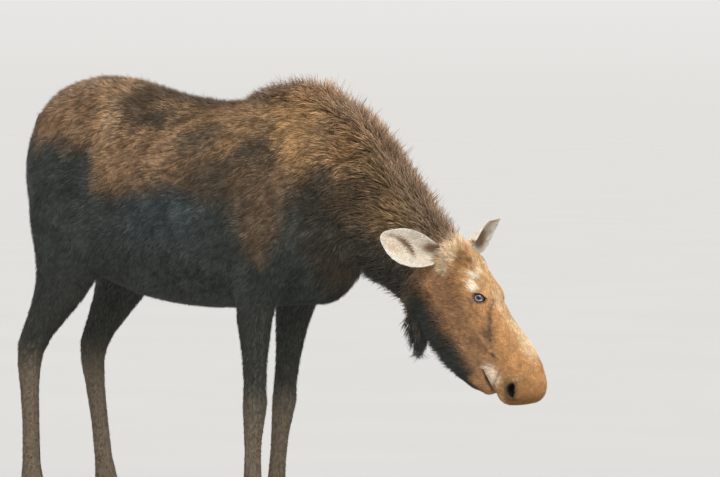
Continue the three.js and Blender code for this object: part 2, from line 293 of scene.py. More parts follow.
class Zones:
    """Where each point is on the animal, and shares from 0 to 1 of what it belongs to.

    f, l and h are its body places, and a, s and u its head places.
    """

    def __init__(self, points, parts):
        self.points, self.parts = points, parts
        self.f, self.l, self.h = body_places(points)
        self.a, self.s, self.u = head_places(points)
        self.out = np.abs(self.l)
        self.bell, self.tail = parts["bell"], parts["tail"]
        self.ear = np.maximum(parts["ear_right"], parts["ear_left"])
        past_head = (points - HEAD_CUT) @ HEAD_CUT_DIRECTION
        past_neck = (points - NECK_CUT) @ NECK_CUT_DIRECTION
        on_head = ramp(past_head, -0.045, 0.045)
        self.head = on_head * (1 - self.ear) * (1 - self.bell)
        self.neck = ramp(past_neck, -0.16, 0.12) * (1 - on_head) * (1 - self.bell) * (1 - self.ear)
        # The legs: below the trunk, and outside the inner thighs and the chest between the arms.
        outside_chest = ramp(self.out, 0.05, 0.09) * ramp(self.h, 0.94, 0.88)
        outside = np.where(self.f < MID_BARREL, ramp(self.f, -0.62, -0.72), outside_chest)
        self.leg = self.below(LEG_COAT) * outside * (self.f < 0.3)
        self.shank = self.below(SHANK_COAT)
        self.foot = self.leg * ramp(self.h, FOOT_TOP, FOOT_FULL)
        others = [self.head, self.neck, self.ear, self.leg, self.bell, self.tail]
        self.trunk = 1 - np.clip(np.maximum.reduce(others), 0, 1)
        self.over = self.h - neck_line(self.f)  # height over the neck's middle line
        # The crest: a band along the top of the hump and the neck, to the nape.
        hump = ramp(self.out, 0.13, 0.03) * ramp(self.f, -0.34, -0.06) * ramp(self.over, 0.22, 0.31)
        mane = ramp(self.out, 0.115, 0.035) * ramp(self.over, 0.06, 0.13) * ramp(past_neck, -0.10, 0.02)
        self.crest = np.maximum(hump, mane) * np.clip(self.trunk + self.neck, 0, 1)
        self.ridge = self.trunk * ramp(self.out, 0.17, 0.05) * ramp(self.h, 1.42, 1.50) * (1 - self.crest)
        self.poll = self.head * ramp(self.a, 0.10, 0.04) * ramp(self.u, -0.07, -0.02)
        self.throat = (self.neck + 0.5 * self.bell) * ramp(self.over, 0.0, -0.12)
        self.jaw = self.head * ramp(self.u, -0.165, -0.245) * ramp(self.a, 0.47, 0.33)

    def below(self, heights):
        """0 above the first height and 1 below the second, each given for the fore and the hind legs."""
        fore, rear = heights
        return ramp(self.h, *(np.where(self.f < MID_BARREL, *pair) for pair in zip(rear, fore)))


# ---- Skin ---------------------------------------------------------------------------------------

FINE_VOXEL = 0.0038
SKIN_VOXEL = FINE_VOXEL
TORSO_ROUNDS, LIMB_ROUNDS = 220, 34  # how often the trunk and the limbs are evened out, at the fine size
WELD = 1e-5  # corners this close are one
HORN_REACH = 0.020  # the skin is drawn on to the horn from this far
CUT_CLOSE = 0.0014  # each copied piece grows by this, so that the cuts between pieces close
COAT_PARTS = ("ear_right", "ear_left", "bell", "tail")


def flesh_shell():
    """All pieces of flesh, and the eyes that they hold, as one closed mesh of even quads."""
    shell = bmesh.new()
    for name in [*FLESH, *EYES]:
        shell.from_mesh(nodes[name].data)
    bmesh.ops.remove_doubles(shell, verts=shell.verts, dist=WELD)
    shell.normal_update()
    for vertex in shell.verts:
        vertex.co += vertex.normal * CUT_CLOSE
    return even_quads("skin", shell, SKIN_VOXEL)


def coat_depth(zones):
    """How deep the skin lies under the tips of the coat."""
    z = zones
    depth = layered(0.013 + 0.006 * z.neck + 0.012 * z.throat, (z.leg, 0.010 - 0.0055 * z.shank))
    depth = depth * (1 - 0.6 * z.foot) + 0.009 * z.ridge + 0.036 * z.crest
    face = 0.0036 + 0.0030 * ramp(z.a, 0.45, 0.10) + 0.016 * z.jaw + 0.010 * z.poll
    face = layered(face, (near_eyes(z, 0.055), 0.0022))
    return layered(depth, (z.head, face), (z.ear, 0.0016), (z.bell, 0.010), (z.tail, 0.009))


def near_eyes(zones, reach):
    """1 at the eyes, falling to 0 at this distance."""
    right = np.linalg.norm(zones.points - eye_right, axis=1)
    left = np.linalg.norm(zones.points - eye_left, axis=1)
    return ramp(np.minimum(right, left), reach, reach * 0.45)


# Swells and hollows of the body: (forward, out, height), half axes, and how far the skin moves.
BODY_FORMS = [
    ((0.04, 0.20, 1.38), (0.06, 0.12, 0.22), 0.016),  # ridge of the shoulder blade
    ((0.17, 0.16, 1.10), (0.10, 0.12, 0.12), 0.014),  # point of the shoulder
    ((-0.06, 0.24, 1.16), (0.08, 0.12, 0.20), 0.013),  # upper arm muscle
    ((0.13, 0.20, 1.26), (0.045, 0.12, 0.16), -0.014),  # groove before the shoulder
    ((-0.20, 0.27, 1.33), (0.08, 0.14, 0.22), -0.014),  # hollow behind the shoulder
    ((-0.12, 0.23, 0.97), (0.06, 0.10, 0.06), 0.012),  # elbow
    ((-0.79, 0.20, 1.58), (0.07, 0.09, 0.06), 0.018),  # hip bone
    ((-0.66, 0.27, 1.44), (0.09, 0.14, 0.10), -0.020),  # flank hollow
    ((-0.50, 0.28, 1.25), (0.16, 0.14, 0.16), 0.008),  # barrel
    ((-0.97, 0.25, 1.34), (0.11, 0.12, 0.16), 0.010),  # thigh muscle
    ((-0.81, 0.22, 1.02), (0.07, 0.12, 0.08), 0.014),  # stifle
    ((-0.80, 0.24, 1.26), (0.03, 0.10, 0.18), -0.010),  # groove down the thigh
    ((-1.08, 0.16, 1.22), (0.04, 0.10, 0.20), -0.008),  # groove of the hamstring
    ((0.34, 0.12, 1.10), (0.16, 0.06, 0.05), -0.010),  # groove of the throat vein
    ((0.30, 0.14, 1.30), (0.16, 0.08, 0.06), 0.008),  # neck muscle
]

# The same on the head: (along, side, lift), half axes along, aside and off the line.
HEAD_FORMS = [
    ((0.222, 0.078, 0.010), (0.040, 0.030, 0.022), 0.003),  # brow
    ((0.265, 0.090, -0.056), (0.040, 0.030, 0.018), -0.004),  # under the eye
    ((0.345, 0.074, -0.092), (0.120, 0.030, 0.014), 0.005),  # ridge of the cheek bone
    ((0.150, 0.092, -0.150), (0.085, 0.050, 0.075), 0.008),  # chewing muscle
    ((0.415, 0.062, -0.120), (0.070, 0.030, 0.032), -0.006),  # hollow of the cheek
    ((0.495, 0.056, -0.132), (0.046, 0.030, 0.030), 0.012),  # hanging lip
    ((0.538, 0.058, -0.118), (0.026, 0.030, 0.028), 0.008),  # lobe between lip and nostril
    ((0.575, 0.060, -0.042), (0.040, 0.030, 0.024), 0.006),  # over the nostril
    ((0.622, 0.030, -0.060), (0.034, 0.034, 0.042), 0.006),  # front of the nose
    ((0.585, 0.050, -0.150), (0.040, 0.030, 0.026), 0.006),  # lip under the nostril
    ((0.105, 0.050, 0.012), (0.040, 0.045, 0.050), 0.006),  # bony knob of the forehead
    ((0.040, 0.075, -0.040), (0.040, 0.030, 0.040), 0.006),  # ear's root
    ((0.470, 0.000, -0.232), (0.060, 0.045, 0.030), 0.006),  # chin
    ((0.400, 0.000, 0.028), (0.100, 0.030, 0.040), 0.004),  # bridge of the nose
]
# Creases of the head: start and end as (along, lift), half width, and depth.
HEAD_CREASES = [
    ((0.276, 0.006), (0.335, -0.032), 0.0075, 0.006),  # tear groove
    ((0.335, -0.032), (0.410, -0.080), 0.0100, 0.004),
    ((0.430, -0.096), (0.464, -0.083), 0.0060, 0.0045),  # wrinkle over the lip
    ((0.448, -0.142), (0.486, -0.106), 0.0050, 0.004),
    ((0.504, -0.098), (0.534, -0.150), 0.0055, 0.006),  # between the lobes
    ((0.462, -0.157), (0.492, -0.163), 0.0050, 0.009),  # mouth
    ((0.492, -0.163), (0.540, -0.169), 0.0054, 0.012),
    ((0.540, -0.169), (0.600, -0.180), 0.0050, 0.012),
]
MOUTH = HEAD_CREASES[5:]
NOSTRIL = (0.584, -0.093)  # (along, lift) of each nostril's middle
NOSTRIL_TURN = math.radians(-41)
NOSTRIL_HALF_LONG, NOSTRIL_HALF_WIDE = 0.031, 0.0210
NOSTRIL_DEPTH, NOSTRIL_LIP = 0.024, 0.0045


def sculpt_body(points, directions, zones):
    """The skin's points with the swells and hollows of the body, alike on both sides."""
    moved = points.copy()
    for (forward, out, height), radii, push in BODY_FORMS:
        for sign in (-1, 1):
            share = near(points, body_point(forward, out * sign, height), (radii[1], radii[0], radii[2]))
            moved += directions * (push * share * (1 - zones.head) * (1 - zones.ear))[:, None]
    return moved


def meet_horn(points, relaxer):
    """Draws the skin near the hooves and dewclaws on to them, so that each grows out of the foot."""
    points = points.copy()
    drawn = np.zeros(len(points))
    for name in HORN:
        low, high = box_corners(name)
        middle_of_horn = (low + high) / 2
        tree = solid_tree(name)
        for index in near_box(points, name, HORN_REACH):
            place, _, _, distance = tree.find_nearest(Vector(points[index]), HORN_REACH)
            if place is None:
                continue
            pull = float(ramp(distance, HORN_REACH, 0.004))
            inside = np.array(place) + 0.15 * (middle_of_horn - np.array(place))
            points[index] += pull * (inside - points[index])
            drawn[index] = max(drawn[index], pull)
    return relaxer.relax(points, 0.5 * ramp(relaxer.even(drawn, 4), 0.0, 0.3), 3)


def head_near(zones, centre, radii, sign):
    """1 at a place on one side of the head, falling to 0 on an ellipsoid with these half axes."""
    along, side, lift = centre
    reach = np.sqrt(
        ((zones.a - along) / radii[0]) ** 2
        + ((zones.s - side * sign) / radii[1]) ** 2
        + ((zones.u - lift) / radii[2]) ** 2
    )
    return ramp(reach, 1.0, 0.0)


def crease(zones, start, end, width):
    """1 along a crease of the head's sides, from start to end, falling off on both sides of it."""
    start, end = np.array(start), np.array(end)
    line = end - start
    away = np.stack([zones.a - start[0], zones.u - start[1]], axis=1)
    share = np.clip(away @ line / (line @ line), 0, 1)
    distance = np.linalg.norm(away - share[:, None] * line, axis=1)
    return np.exp(-((distance / width) ** 2)) * ramp(np.abs(zones.s), 0.015, 0.035) * zones.head


def nostril_share(zones, grow=0.0):
    """The comma of each nostril: 1 in its middle and 0 at its rim."""
    da, du = zones.a - NOSTRIL[0], zones.u - NOSTRIL[1]
    long = da * math.cos(NOSTRIL_TURN) + du * math.sin(NOSTRIL_TURN)
    wide = -da * math.sin(NOSTRIL_TURN) + du * math.cos(NOSTRIL_TURN) - 5.0 * long**2 + 0.001
    reach = np.hypot(long / (NOSTRIL_HALF_LONG + grow), wide / (NOSTRIL_HALF_WIDE + grow))
    return ramp(reach, 1.0, 0.4) * (np.abs(zones.s) > 0.028) * zones.head


def sculpt_head(points, directions, zones):
    """The skin's points with the head's swells, hollows and creases, and with its nostrils."""
    moved = points.copy()
    for centre, radii, push in HEAD_FORMS:
        for sign in (-1, 1) if centre[1] else (1,):
            moved += directions * (push * head_near(zones, centre, radii, sign) * zones.head)[:, None]
    for start, end, width, depth in HEAD_CREASES:
        moved -= directions * (depth * crease(zones, start, end, width))[:, None]
    pit, rim = nostril_share(zones), nostril_share(zones, 0.009)
    moved += directions * (NOSTRIL_LIP * rim * (1 - pit))[:, None]
    inwards = -SIDE * np.sign(zones.s)[:, None] * 0.95 - ALONG * 0.20
    return moved + inwards * (NOSTRIL_DEPTH * pit)[:, None]


# How much narrower each ear's tip is than the solid's, on the two sides of its middle line.
EAR_TAPER = {"ear_right": (0.10, 0.10), "ear_left": (0.82, 0.58)}
EAR_DRAWN_IN = {"ear_right": 0.0, "ear_left": 0.016}  # how much shorter each ear is than the solid


def sculpt_ears(points, zones):
    """Narrows the ears' tips, and draws the left one's in to a point."""
    moved = points.copy()
    for name in EARS:
        _, axis, across_way = ear_axes(name)
        share, across = ear_frame(zones, name)
        tip = ramp(share, 0.35, 1.05) * zones.parts[name]
        moved -= (across * np.where(across > 0, *EAR_TAPER[name]) * tip)[:, None] * across_way
        moved -= (EAR_DRAWN_IN[name] * tip)[:, None] * axis
    return moved


EYE_TILT = math.radians(40)  # of the line between the eye's corners, up from the nose's line


def gaze_frame(sign):
    """Centre of an eye, where it looks, and the ways ahead and up across it."""
    centre = head_point(EYE_ALONG - 0.002, (EYE_APART / 2 - 0.003) * sign, EYE_LIFT - 0.003)
    gaze = unit(head_direction(0.14, 0.95 * sign, 0.14)[None])[0]
    nose = unit((ALONG - gaze * (ALONG @ gaze))[None])[0]
    crown = unit((LIFT - gaze * (LIFT @ gaze) - nose * (LIFT @ nose))[None])[0]
    ahead = nose * math.cos(EYE_TILT) + crown * math.sin(EYE_TILT)
    return centre, gaze, ahead, crown * math.cos(EYE_TILT) - nose * math.sin(EYE_TILT)


def lid_opening(c, s):
    """Half angle of the lids' almond opening, the way whose cosine and sine are given: its point is ahead."""
    wide = np.where(c > 0, 1.22, 1.06)
    tall = np.where(s > 0, 0.60, 0.66)
    return ((np.abs(c) / wide) ** 1.7 + (np.abs(s) / tall) ** 1.7) ** (-1 / 1.7)


def past_lid(points, sign):
    """How far each point lies from an eye, and its angle past the edge of the lids."""
    centre, gaze, ahead, over = gaze_frame(sign)
    away = points - centre
    reach = np.linalg.norm(away, axis=1)
    angle = np.arccos(np.clip(away @ gaze / np.maximum(reach, 1e-6), -1, 1))
    c, s = away @ ahead, away @ over
    size = np.maximum(np.hypot(c, s), 1e-6)
    return reach, angle - lid_opening(c / size, s / size)


SOCKET_REACH = EYE_RADIUS * 1.6  # the skin this close to an eye's middle makes way for it
SOCKET_FLOOR = EYE_RADIUS * 0.84  # how far from the middle it then lies, under the ball
LID_SEAT = EYE_RADIUS * 1.10  # and round the lids, at the least


def seat_eyes(points):
    """Draws the skin back under the eyeballs, and holds it off them round the lids."""
    moved = points.copy()
    for sign in EYES.values():
        centre = gaze_frame(sign)[0]
        reach, past = past_lid(points, sign)
        held = np.maximum(reach, LID_SEAT)
        wanted = SOCKET_FLOOR + (held - SOCKET_FLOOR) * ramp(past, 0.14, 0.30)
        close = (reach < SOCKET_REACH)[:, None]
        moved = np.where(close, centre + (points - centre) * (wanted / reach)[:, None], moved)
    return moved


def fine_skin(zones):
    """The muzzle's sides and the eyes' surrounds, which hold the finest forms."""
    muzzle = (zones.a > 0.42) & (zones.head > 0.5) & (np.abs(zones.s) > 0.02) & (zones.u > -0.19)
    return muzzle | (near_eyes(zones, 0.050) > 0.1)


def refine(skin, zones):
    """Divides the faces of the fine part of the skin."""
    dense = bmesh.new()
    dense.from_mesh(skin.data)
    dense.verts.ensure_lookup_table()
    chosen = set(np.flatnonzero(fine_skin(zones)).tolist())
    edges = [edge for edge in dense.edges if edge.verts[0].index in chosen and edge.verts[1].index in chosen]
    bmesh.ops.subdivide_edges(dense, edges=edges, cuts=1, use_grid_fill=True)
    dense.to_mesh(skin.data)
    dense.free()


def part_shares(mesh, points):
    """Shares of the skin's own parts, softened over the cuts between them."""
    relaxer = Relaxer(mesh)
    return {name: relaxer.even(node_share(points, name), 5) for name in COAT_PARTS}


def build_skin():
    """The one skin under the coat, with the shares of its parts."""
    skin = flesh_shell()
    mesh = skin.data
    points = coordinates(mesh)
    parts = part_shares(mesh, points)
    zones = Zones(points, parts)
    relaxer = Relaxer(mesh)
    spread = (FINE_VOXEL / SKIN_VOXEL) ** 2
    torso = np.clip(zones.trunk + 0.6 * zones.neck, 0, 1)
    points = relaxer.relax(points, torso, round(TORSO_ROUNDS * spread))
    limbs = np.clip(zones.leg - 0.85 * zones.foot + 0.5 * zones.head + 0.3 * zones.neck, 0, 1)
    points = relaxer.relax(points, limbs * (1 - zones.ear), max(4, round(LIMB_ROUNDS * spread)))
    points = relaxer.relax(points, np.full(len(points), 0.5), 2)
    set_coordinates(mesh, points)
    zones = Zones(points, parts)
    depth = relaxer.even(coat_depth(zones), 8)
    points = points - normals(mesh) * depth[:, None]
    points = relaxer.relax(points, np.full(len(points), 0.4), 2)
    points = meet_horn(sculpt_body(points, normals(mesh), zones), relaxer)
    set_coordinates(mesh, points)
    for name, share in parts.items():
        store_values(mesh, name, share)
    refine(skin, Zones(points, parts))
    mesh = skin.data
    points = coordinates(mesh)
    zones = skin_zones(mesh)
    relaxer = Relaxer(mesh)
    soft = ramp(zones.head + zones.ear, 0.4, 0.8)
    points = relaxer.relax(points, 0.6 * soft, 3)
    set_coordinates(mesh, points)
    points = sculpt_ears(sculpt_head(points, normals(mesh), zones), zones)
    points = relaxer.relax(points, 0.35 * soft, 2)
    set_coordinates(mesh, seat_eyes(points))
    shade_smooth(mesh)
    return skin


def read_values(mesh, name):
    values = np.empty(len(mesh.vertices), np.float32)
    mesh.attributes[name].data.foreach_get("value", values)
    return values.astype(float)


def skin_zones(mesh):
    """Zones of the skin's corners, with the shares kept on them."""
    return Zones(coordinates(mesh), {name: read_values(mesh, name) for name in COAT_PARTS})


# ---- Coat colours -------------------------------------------------------------------------------


def cell_noise(cells, seed):
    """A repeatable number from 0 to 1 for each whole-numbered cell."""
    mixed = cells[:, 0] * 374761393 + cells[:, 1] * 668265263 + cells[:, 2] * 2147483647 + seed * 974634777
    mixed = (mixed ^ (mixed >> 13)) * 1274126177
    return ((mixed ^ (mixed >> 16)) & 0xFFFFFF) / 0xFFFFFF


CLOUD_LAYERS = 2


def cloud(points, size, seed):
    """Smooth noise from 0 to 1 whose patches are about the given size."""
    total, weight = np.zeros(len(points)), 0.0
    for layer in range(CLOUD_LAYERS):
        scaled = points / (size / 2**layer)
        cell = np.floor(scaled).astype(np.int64)
        inside = scaled - cell
        inside = inside * inside * (3 - 2 * inside)
        value = np.zeros(len(points))
        for corner in np.ndindex(2, 2, 2):
            offset = np.array(corner)
            share = np.prod(np.where(offset == 1, inside, 1 - inside), axis=1)
            value += share * cell_noise(cell + offset, seed + layer)
        total += value / 2**layer
        weight += 1 / 2**layer
    return total / weight


def paint(colour, *layers):
    """A colour with markings laid on in turn: each layer is its share and its own colour."""
    for share, new in layers:
        share = np.clip(share, 0, 1)[:, None]
        colour = colour * (1 - share) + np.array(new) * share
    return colour


# The darkest coat colours: dark brown-black with a blue-grey cast of painted sky light over them.
BLACK_WITH_SKY_CAST = (0.094, 0.105, 0.098)
BELLY_WITH_SKY_CAST = (0.114, 0.136, 0.138)
WARM_DARK = (0.096, 0.068, 0.044)
JAW_DARK = (0.066, 0.072, 0.064)
DARK = (0.086, 0.082, 0.068)
UMBER = (0.150, 0.103, 0.066)
BROWN = (0.270, 0.176, 0.104)
TAN = (0.480, 0.298, 0.168)
GOLD = (0.590, 0.362, 0.186)
PALE_TAN = (0.660, 0.450, 0.280)
MANE = (0.212, 0.140, 0.070)
AMBER = (0.700, 0.425, 0.200)
FRINGE = (0.500, 0.355, 0.255)
CHEEK = (0.520, 0.292, 0.152)
HONEY = (0.640, 0.340, 0.145)
SNOUT = (0.620, 0.330, 0.140)
RUST = (0.430, 0.225, 0.090)
PEACH = (0.740, 0.470, 0.310)
PALE_NOSE = (0.780, 0.510, 0.270)
CREAM = (0.930, 0.720, 0.480)
BROW_PALE = (1.000, 0.860, 0.660)
EAR_PALE = (1.000, 0.900, 0.760)
EAR_RIM = (1.000, 0.960, 0.880)
# brown of the painted shade in the ears' cups
EAR_SHADE_BROWN = (0.300, 0.180, 0.105)
GREY_LEG = (0.260, 0.205, 0.145)
# near black: the bare dark skin of the lids and nostrils, with painted shade in the nostril pits and round
# the lids
DARK_SKIN_AND_SHADE = (0.014, 0.010, 0.008)
LID_PINK = (0.330, 0.170, 0.120)
LIP_PALE = (0.980, 0.800, 0.600)

# Patches of the body's coat: (forward, out, height), half axes, colour and strength, laid on in turn.
BODY_MARKS = [
    ((-0.94, 0.15, 1.54), (0.28, 0.35, 0.24), TAN, 1.00),  # side of the croup
    ((-0.77, 0.10, 1.66), (0.12, 0.22, 0.10), GOLD, 0.80),  # over the hip
    ((-0.72, 0.26, 1.46), (0.11, 0.30, 0.26), GOLD, 1.00),  # below the hip
    ((-0.57, 0.27, 1.37), (0.34, 0.30, 0.22), TAN, 1.00),  # ribs
    ((-0.24, 0.26, 1.33), (0.32, 0.30, 0.24), BROWN, 1.00),  # behind the elbow
    ((-0.20, 0.16, 1.51), (0.36, 0.28, 0.14), GOLD, 0.90),  # band behind the shoulder
    ((0.07, 0.15, 1.50), (0.24, 0.32, 0.27), AMBER, 1.00),  # shoulder
    ((0.01, 0.26, 1.24), (0.12, 0.30, 0.28), TAN, 0.75),  # down the upper arm
    ((-0.06, 0.24, 1.34), (0.14, 0.28, 0.16), TAN, 0.60),  # shoulder blade
    ((-0.38, 0.00, 1.672), (0.37, 0.15, 0.056), DARK, 1.00),  # ridge of the loin
    ((-0.38, 0.16, 1.590), (0.07, 0.16, 0.030), UMBER, 0.70),  # spots of the loin
    ((-0.55, 0.16, 1.598), (0.075, 0.17, 0.040), GOLD, 1.00),
    ((-0.47, 0.18, 1.578), (0.075, 0.18, 0.036), GOLD, 1.00),
    ((-0.56, 0.22, 1.525), (0.10, 0.20, 0.032), DARK, 0.90),
    ((-0.71, 0.24, 1.53), (0.055, 0.26, 0.15), PALE_TAN, 1.00),  # down from the hip
    ((-0.42, 0.27, 1.350), (0.12, 0.30, 0.075), TAN, 0.80),  # lower ribs
    ((-0.83, 0.22, 1.55), (0.040, 0.22, 0.10), UMBER, 0.35),  # behind the hip
    ((-0.33, 0.26, 1.460), (0.14, 0.28, 0.058), DARK, 0.75),  # dark spots from the ribs to the shoulder
    ((-0.10, 0.26, 1.410), (0.13, 0.28, 0.062), DARK, 0.75),
    ((-0.07, 0.24, 1.480), (0.06, 0.24, 0.070), DARK, 0.65),
    ((-0.04, 0.26, 1.360), (0.07, 0.28, 0.065), DARK, 0.60),
    ((-0.22, 0.26, 1.34), (0.12, 0.30, 0.10), DARK, 0.60),  # behind the upper arm
    ((-0.93, 0.18, 1.62), (0.08, 0.20, 0.040), UMBER, 0.45),  # croup
]
# Larger patches: (forward, out, height), half axes, how uneven the edge is, and where the share is full.
BELLY_PATCH = ((-0.46, 0.28, 1.16), (0.36, 0.40, 0.20), 0.5, 0.70)
ARM_PATCH = ((-0.03, 0.28, 1.17), (0.17, 0.24, 0.20), 0.6, 0.60)
NECK_FOOT_PATCH = ((0.205, 0.20, 1.22), (0.120, 0.34, 0.24), 0.4, 0.45)
NECK_FRONT_PATCH = ((0.28, 0.20, 1.44), (0.11, 0.22, 0.10), 0.5, 0.60)
NECK_SIDE_PATCH = ((0.340, 0.22, 1.275), (0.190, 0.30, 0.14), 0.4, 0.50)
STRANDS = np.array([1.0, 0.45, 1.0])  # patches of strands are longer from front to back
STREAKS = np.array([1.0, 0.60, 1.0])
ROOT_SHADE, TIP_SHADE = 0.82, 1.12  # the tufts' roots and tips against the marking
# Size and seed of each noise that breaks up the markings.
WIDE, FINE, STRAND = (0.15, 3), (0.05, 7), (0.016, 9)
STREAK, FADED = (0.021, 13), (0.009, 15)
FACE_ALONG, FACE_LIFT = (0.020, 31), (0.020, 37)


def coat_colours(zones):
    """The coat's markings at each point, at the root and at the tip of its hair."""
    z = zones
    wide, fine = cloud(z.points, *WIDE), cloud(z.points, *FINE)
    strands = cloud(z.points * STRANDS, *STRAND)
    drift = 0.65 * wide + 0.35 * fine - 0.5
    broken = 0.6 * fine + 0.4 * strands
    warped = np.stack([z.f + 0.16 * drift, z.out, z.h + 0.16 * drift], axis=1)

    def patch(place, radii, uneven, full, start=0.05):
        return ramp(near(warped, place, radii) + uneven * (broken - 0.5), start, full)

    colour = np.tile(np.array(UMBER), (len(z.points), 1))
    for place, radii, tint, strength in BODY_MARKS:
        colour = paint(colour, (strength * patch(place, radii, 0.85, 0.50, 0.08), tint))
    height = z.h + 0.16 * drift + 0.05 * (strands - 0.5)
    thigh = ramp(z.f + 0.15 * (z.h - 1.3) + 0.06 * drift, -0.70, -0.79) * ramp(height, 1.48, 1.38)
    buttock = ramp(z.f, -1.02, -1.12) * ramp(height, 1.54, 1.44)
    colour = paint(
        colour,
        (0.75 * ramp(height, 1.36, 1.20) * (1 - z.neck), DARK),  # the underside
        (ramp(height, 1.31, 1.17) * (1 - z.neck), BLACK_WITH_SKY_CAST),
        (patch(*BELLY_PATCH), BELLY_WITH_SKY_CAST),
        (0.75 * patch(*ARM_PATCH) * (z.out > 0.08), BROWN),
        (np.maximum(thigh, buttock), BLACK_WITH_SKY_CAST),
    )
    # The neck goes from brown on its sides to near black at the throat.
    under = z.over + 0.12 * drift
    colour = paint(
        colour,
        (z.neck, MANE),
        (z.neck * ramp(z.f, 0.44, 0.24) * ramp(under, 0.04, 0.14) * ramp(broken, 0.3, 0.6), TAN),
        (z.neck * ramp(strands, 0.50, 0.72) * 0.6 * ramp(under, 0.0, 0.1), TAN),  # pale strands
        (z.neck * ramp(under, 0.14, 0.02), UMBER),  # the throat
        (z.neck * ramp(under, 0.08, -0.04), DARK),
        (0.9 * patch(*NECK_FOOT_PATCH), DARK),
        (0.6 * patch(*NECK_FRONT_PATCH), RUST),
        (0.9 * patch(*NECK_SIDE_PATCH) * ramp(z.out, 0.06, 0.12), WARM_DARK),
        (z.crest * 0.35 * ramp(z.out, 0.09, 0.03) * ramp(z.f, 0.42, 0.60), UMBER),
        (z.crest * 0.5 * ramp(z.f, 0.56, 0.70), UMBER),  # the crest near the nape
        (z.ridge * 0.45 * ramp(broken, 0.4, 0.7), UMBER),  # along the back
    )
    shank = z.leg * z.shank
    colour = paint(
        colour,
        (z.leg * (1 - z.shank) * 0.6, DARK),
        (0.9 * shank, GREY_LEG),
        (shank * ramp(z.h, 0.16, 0.09), UMBER),  # over the hooves
        (z.tail * ramp(z.h, 1.56, 1.48), DARK),
    )
    colour = face_colours(colour, z, fine, strands)
    colour = ear_colours(paint(colour, (z.bell, JAW_DARK)), z, fine)
    streak = ramp(cloud(z.points * STREAKS, *STREAK), 0.30, 0.70) - 0.5
    colour = colour * (1 + 0.75 * streak * (z.trunk + z.neck + 0.25 * z.head))[:, None]
    pale = np.maximum(0.75 * z.crest * ramp(z.out, 0.075, 0.015), 0.35 * z.ridge * ramp(z.f, -0.62, -0.75))
    faded = z.trunk * ramp(cloud(z.points * STREAKS, *FADED), 0.52, 0.68)
    faded = 0.45 * faded * ramp(colour[:, 0], 0.14, 0.30)
    return colour * ROOT_SHADE, paint(colour * TIP_SHADE, (faded, PALE_TAN), (pale, FRINGE))


# Dark lines below the front of each eye, down the tear groove: the gland's dark hair with painted shade in
# the groove. Start and end as (along, lift), half width, and strength.
TEAR_GROOVE_SHADE = [
    ((0.284, -0.004), (0.335, -0.035), 0.007, 0.55),
    ((0.330, -0.032), (0.388, -0.066), 0.011, 0.75),
]
PAINTED_CREASE_SHADE = 70  # painted shade: how dark a crease of the head is painted for each metre of its depth

# Patches of the face, on both sides: (along, side, lift), half axes, colour and strength.
FACE_MARKS = [
    ((0.050, 0.055, 0.002), (0.085, 0.080, 0.060), HONEY, 1.0),  # the tufted top of the head
    ((0.012, 0.045, 0.000), (0.078, 0.090, 0.080), CREAM, 0.9),
    ((0.068, 0.066, 0.000), (0.046, 0.050, 0.036), PALE_NOSE, 0.9),
    ((0.104, 0.060, -0.010), (0.060, 0.052, 0.070), RUST, 1.3),  # whorl of the forehead
    ((0.112, 0.052, 0.012), (0.018, 0.016, 0.024), UMBER, 1.1),
    ((0.098, 0.058, -0.010), (0.018, 0.018, 0.026), BROWN, 0.8),
    ((0.145, 0.030, 0.020), (0.060, 0.026, 0.022), CREAM, 1.0),  # forehead
    ((0.202, 0.080, -0.020), (0.029, 0.030, 0.025), BROW_PALE, 2.2),  # over the eye
    ((0.170, 0.062, 0.004), (0.032, 0.030, 0.024), BROW_PALE, 1.4),
    ((0.172, 0.064, 0.004), (0.008, 0.012, 0.010), UMBER, 1.1),
    ((0.222, 0.078, 0.008), (0.026, 0.026, 0.018), SNOUT, 1.2),
    ((0.282, 0.072, 0.014), (0.040, 0.024, 0.013), CREAM, 1.3),  # before the eye
    ((0.086, 0.092, -0.074), (0.044, 0.050, 0.044), CREAM, 1.1),  # under the ear
    ((0.050, 0.088, -0.040), (0.062, 0.060, 0.056), CREAM, 1.6),  # the ear's root
    ((0.255, 0.090, -0.050), (0.050, 0.035, 0.018), BROWN, 0.6),  # under the eye
    ((0.446, 0.060, -0.086), (0.024, 0.030, 0.010), UMBER, 1.0),  # wrinkle over the lip, its painted shade
    ((0.505, 0.056, -0.118), (0.070, 0.040, 0.046), PEACH, 1.2),  # hanging lip
    ((0.495, 0.056, -0.134), (0.060, 0.042, 0.042), LIP_PALE, 1.25),
    ((0.537, 0.058, -0.118), (0.032, 0.030, 0.030), CREAM, 1.2),
    ((0.598, 0.050, -0.150), (0.050, 0.030, 0.020), PALE_NOSE, 0.8),  # lip under the nostril
    ((0.560, 0.050, -0.046), (0.040, 0.030, 0.026), PALE_NOSE, 0.7),  # over the nostril
    ((0.566, 0.062, -0.086), (0.050, 0.030, 0.036), RUST, 0.8),  # round the nostril
    ((0.612, 0.045, -0.080), (0.056, 0.070, 0.060), RUST, 1.2),  # front of the nose
    ((0.480, 0.030, -0.200), (0.050, 0.050, 0.030), HONEY, 0.8),  # chin
]


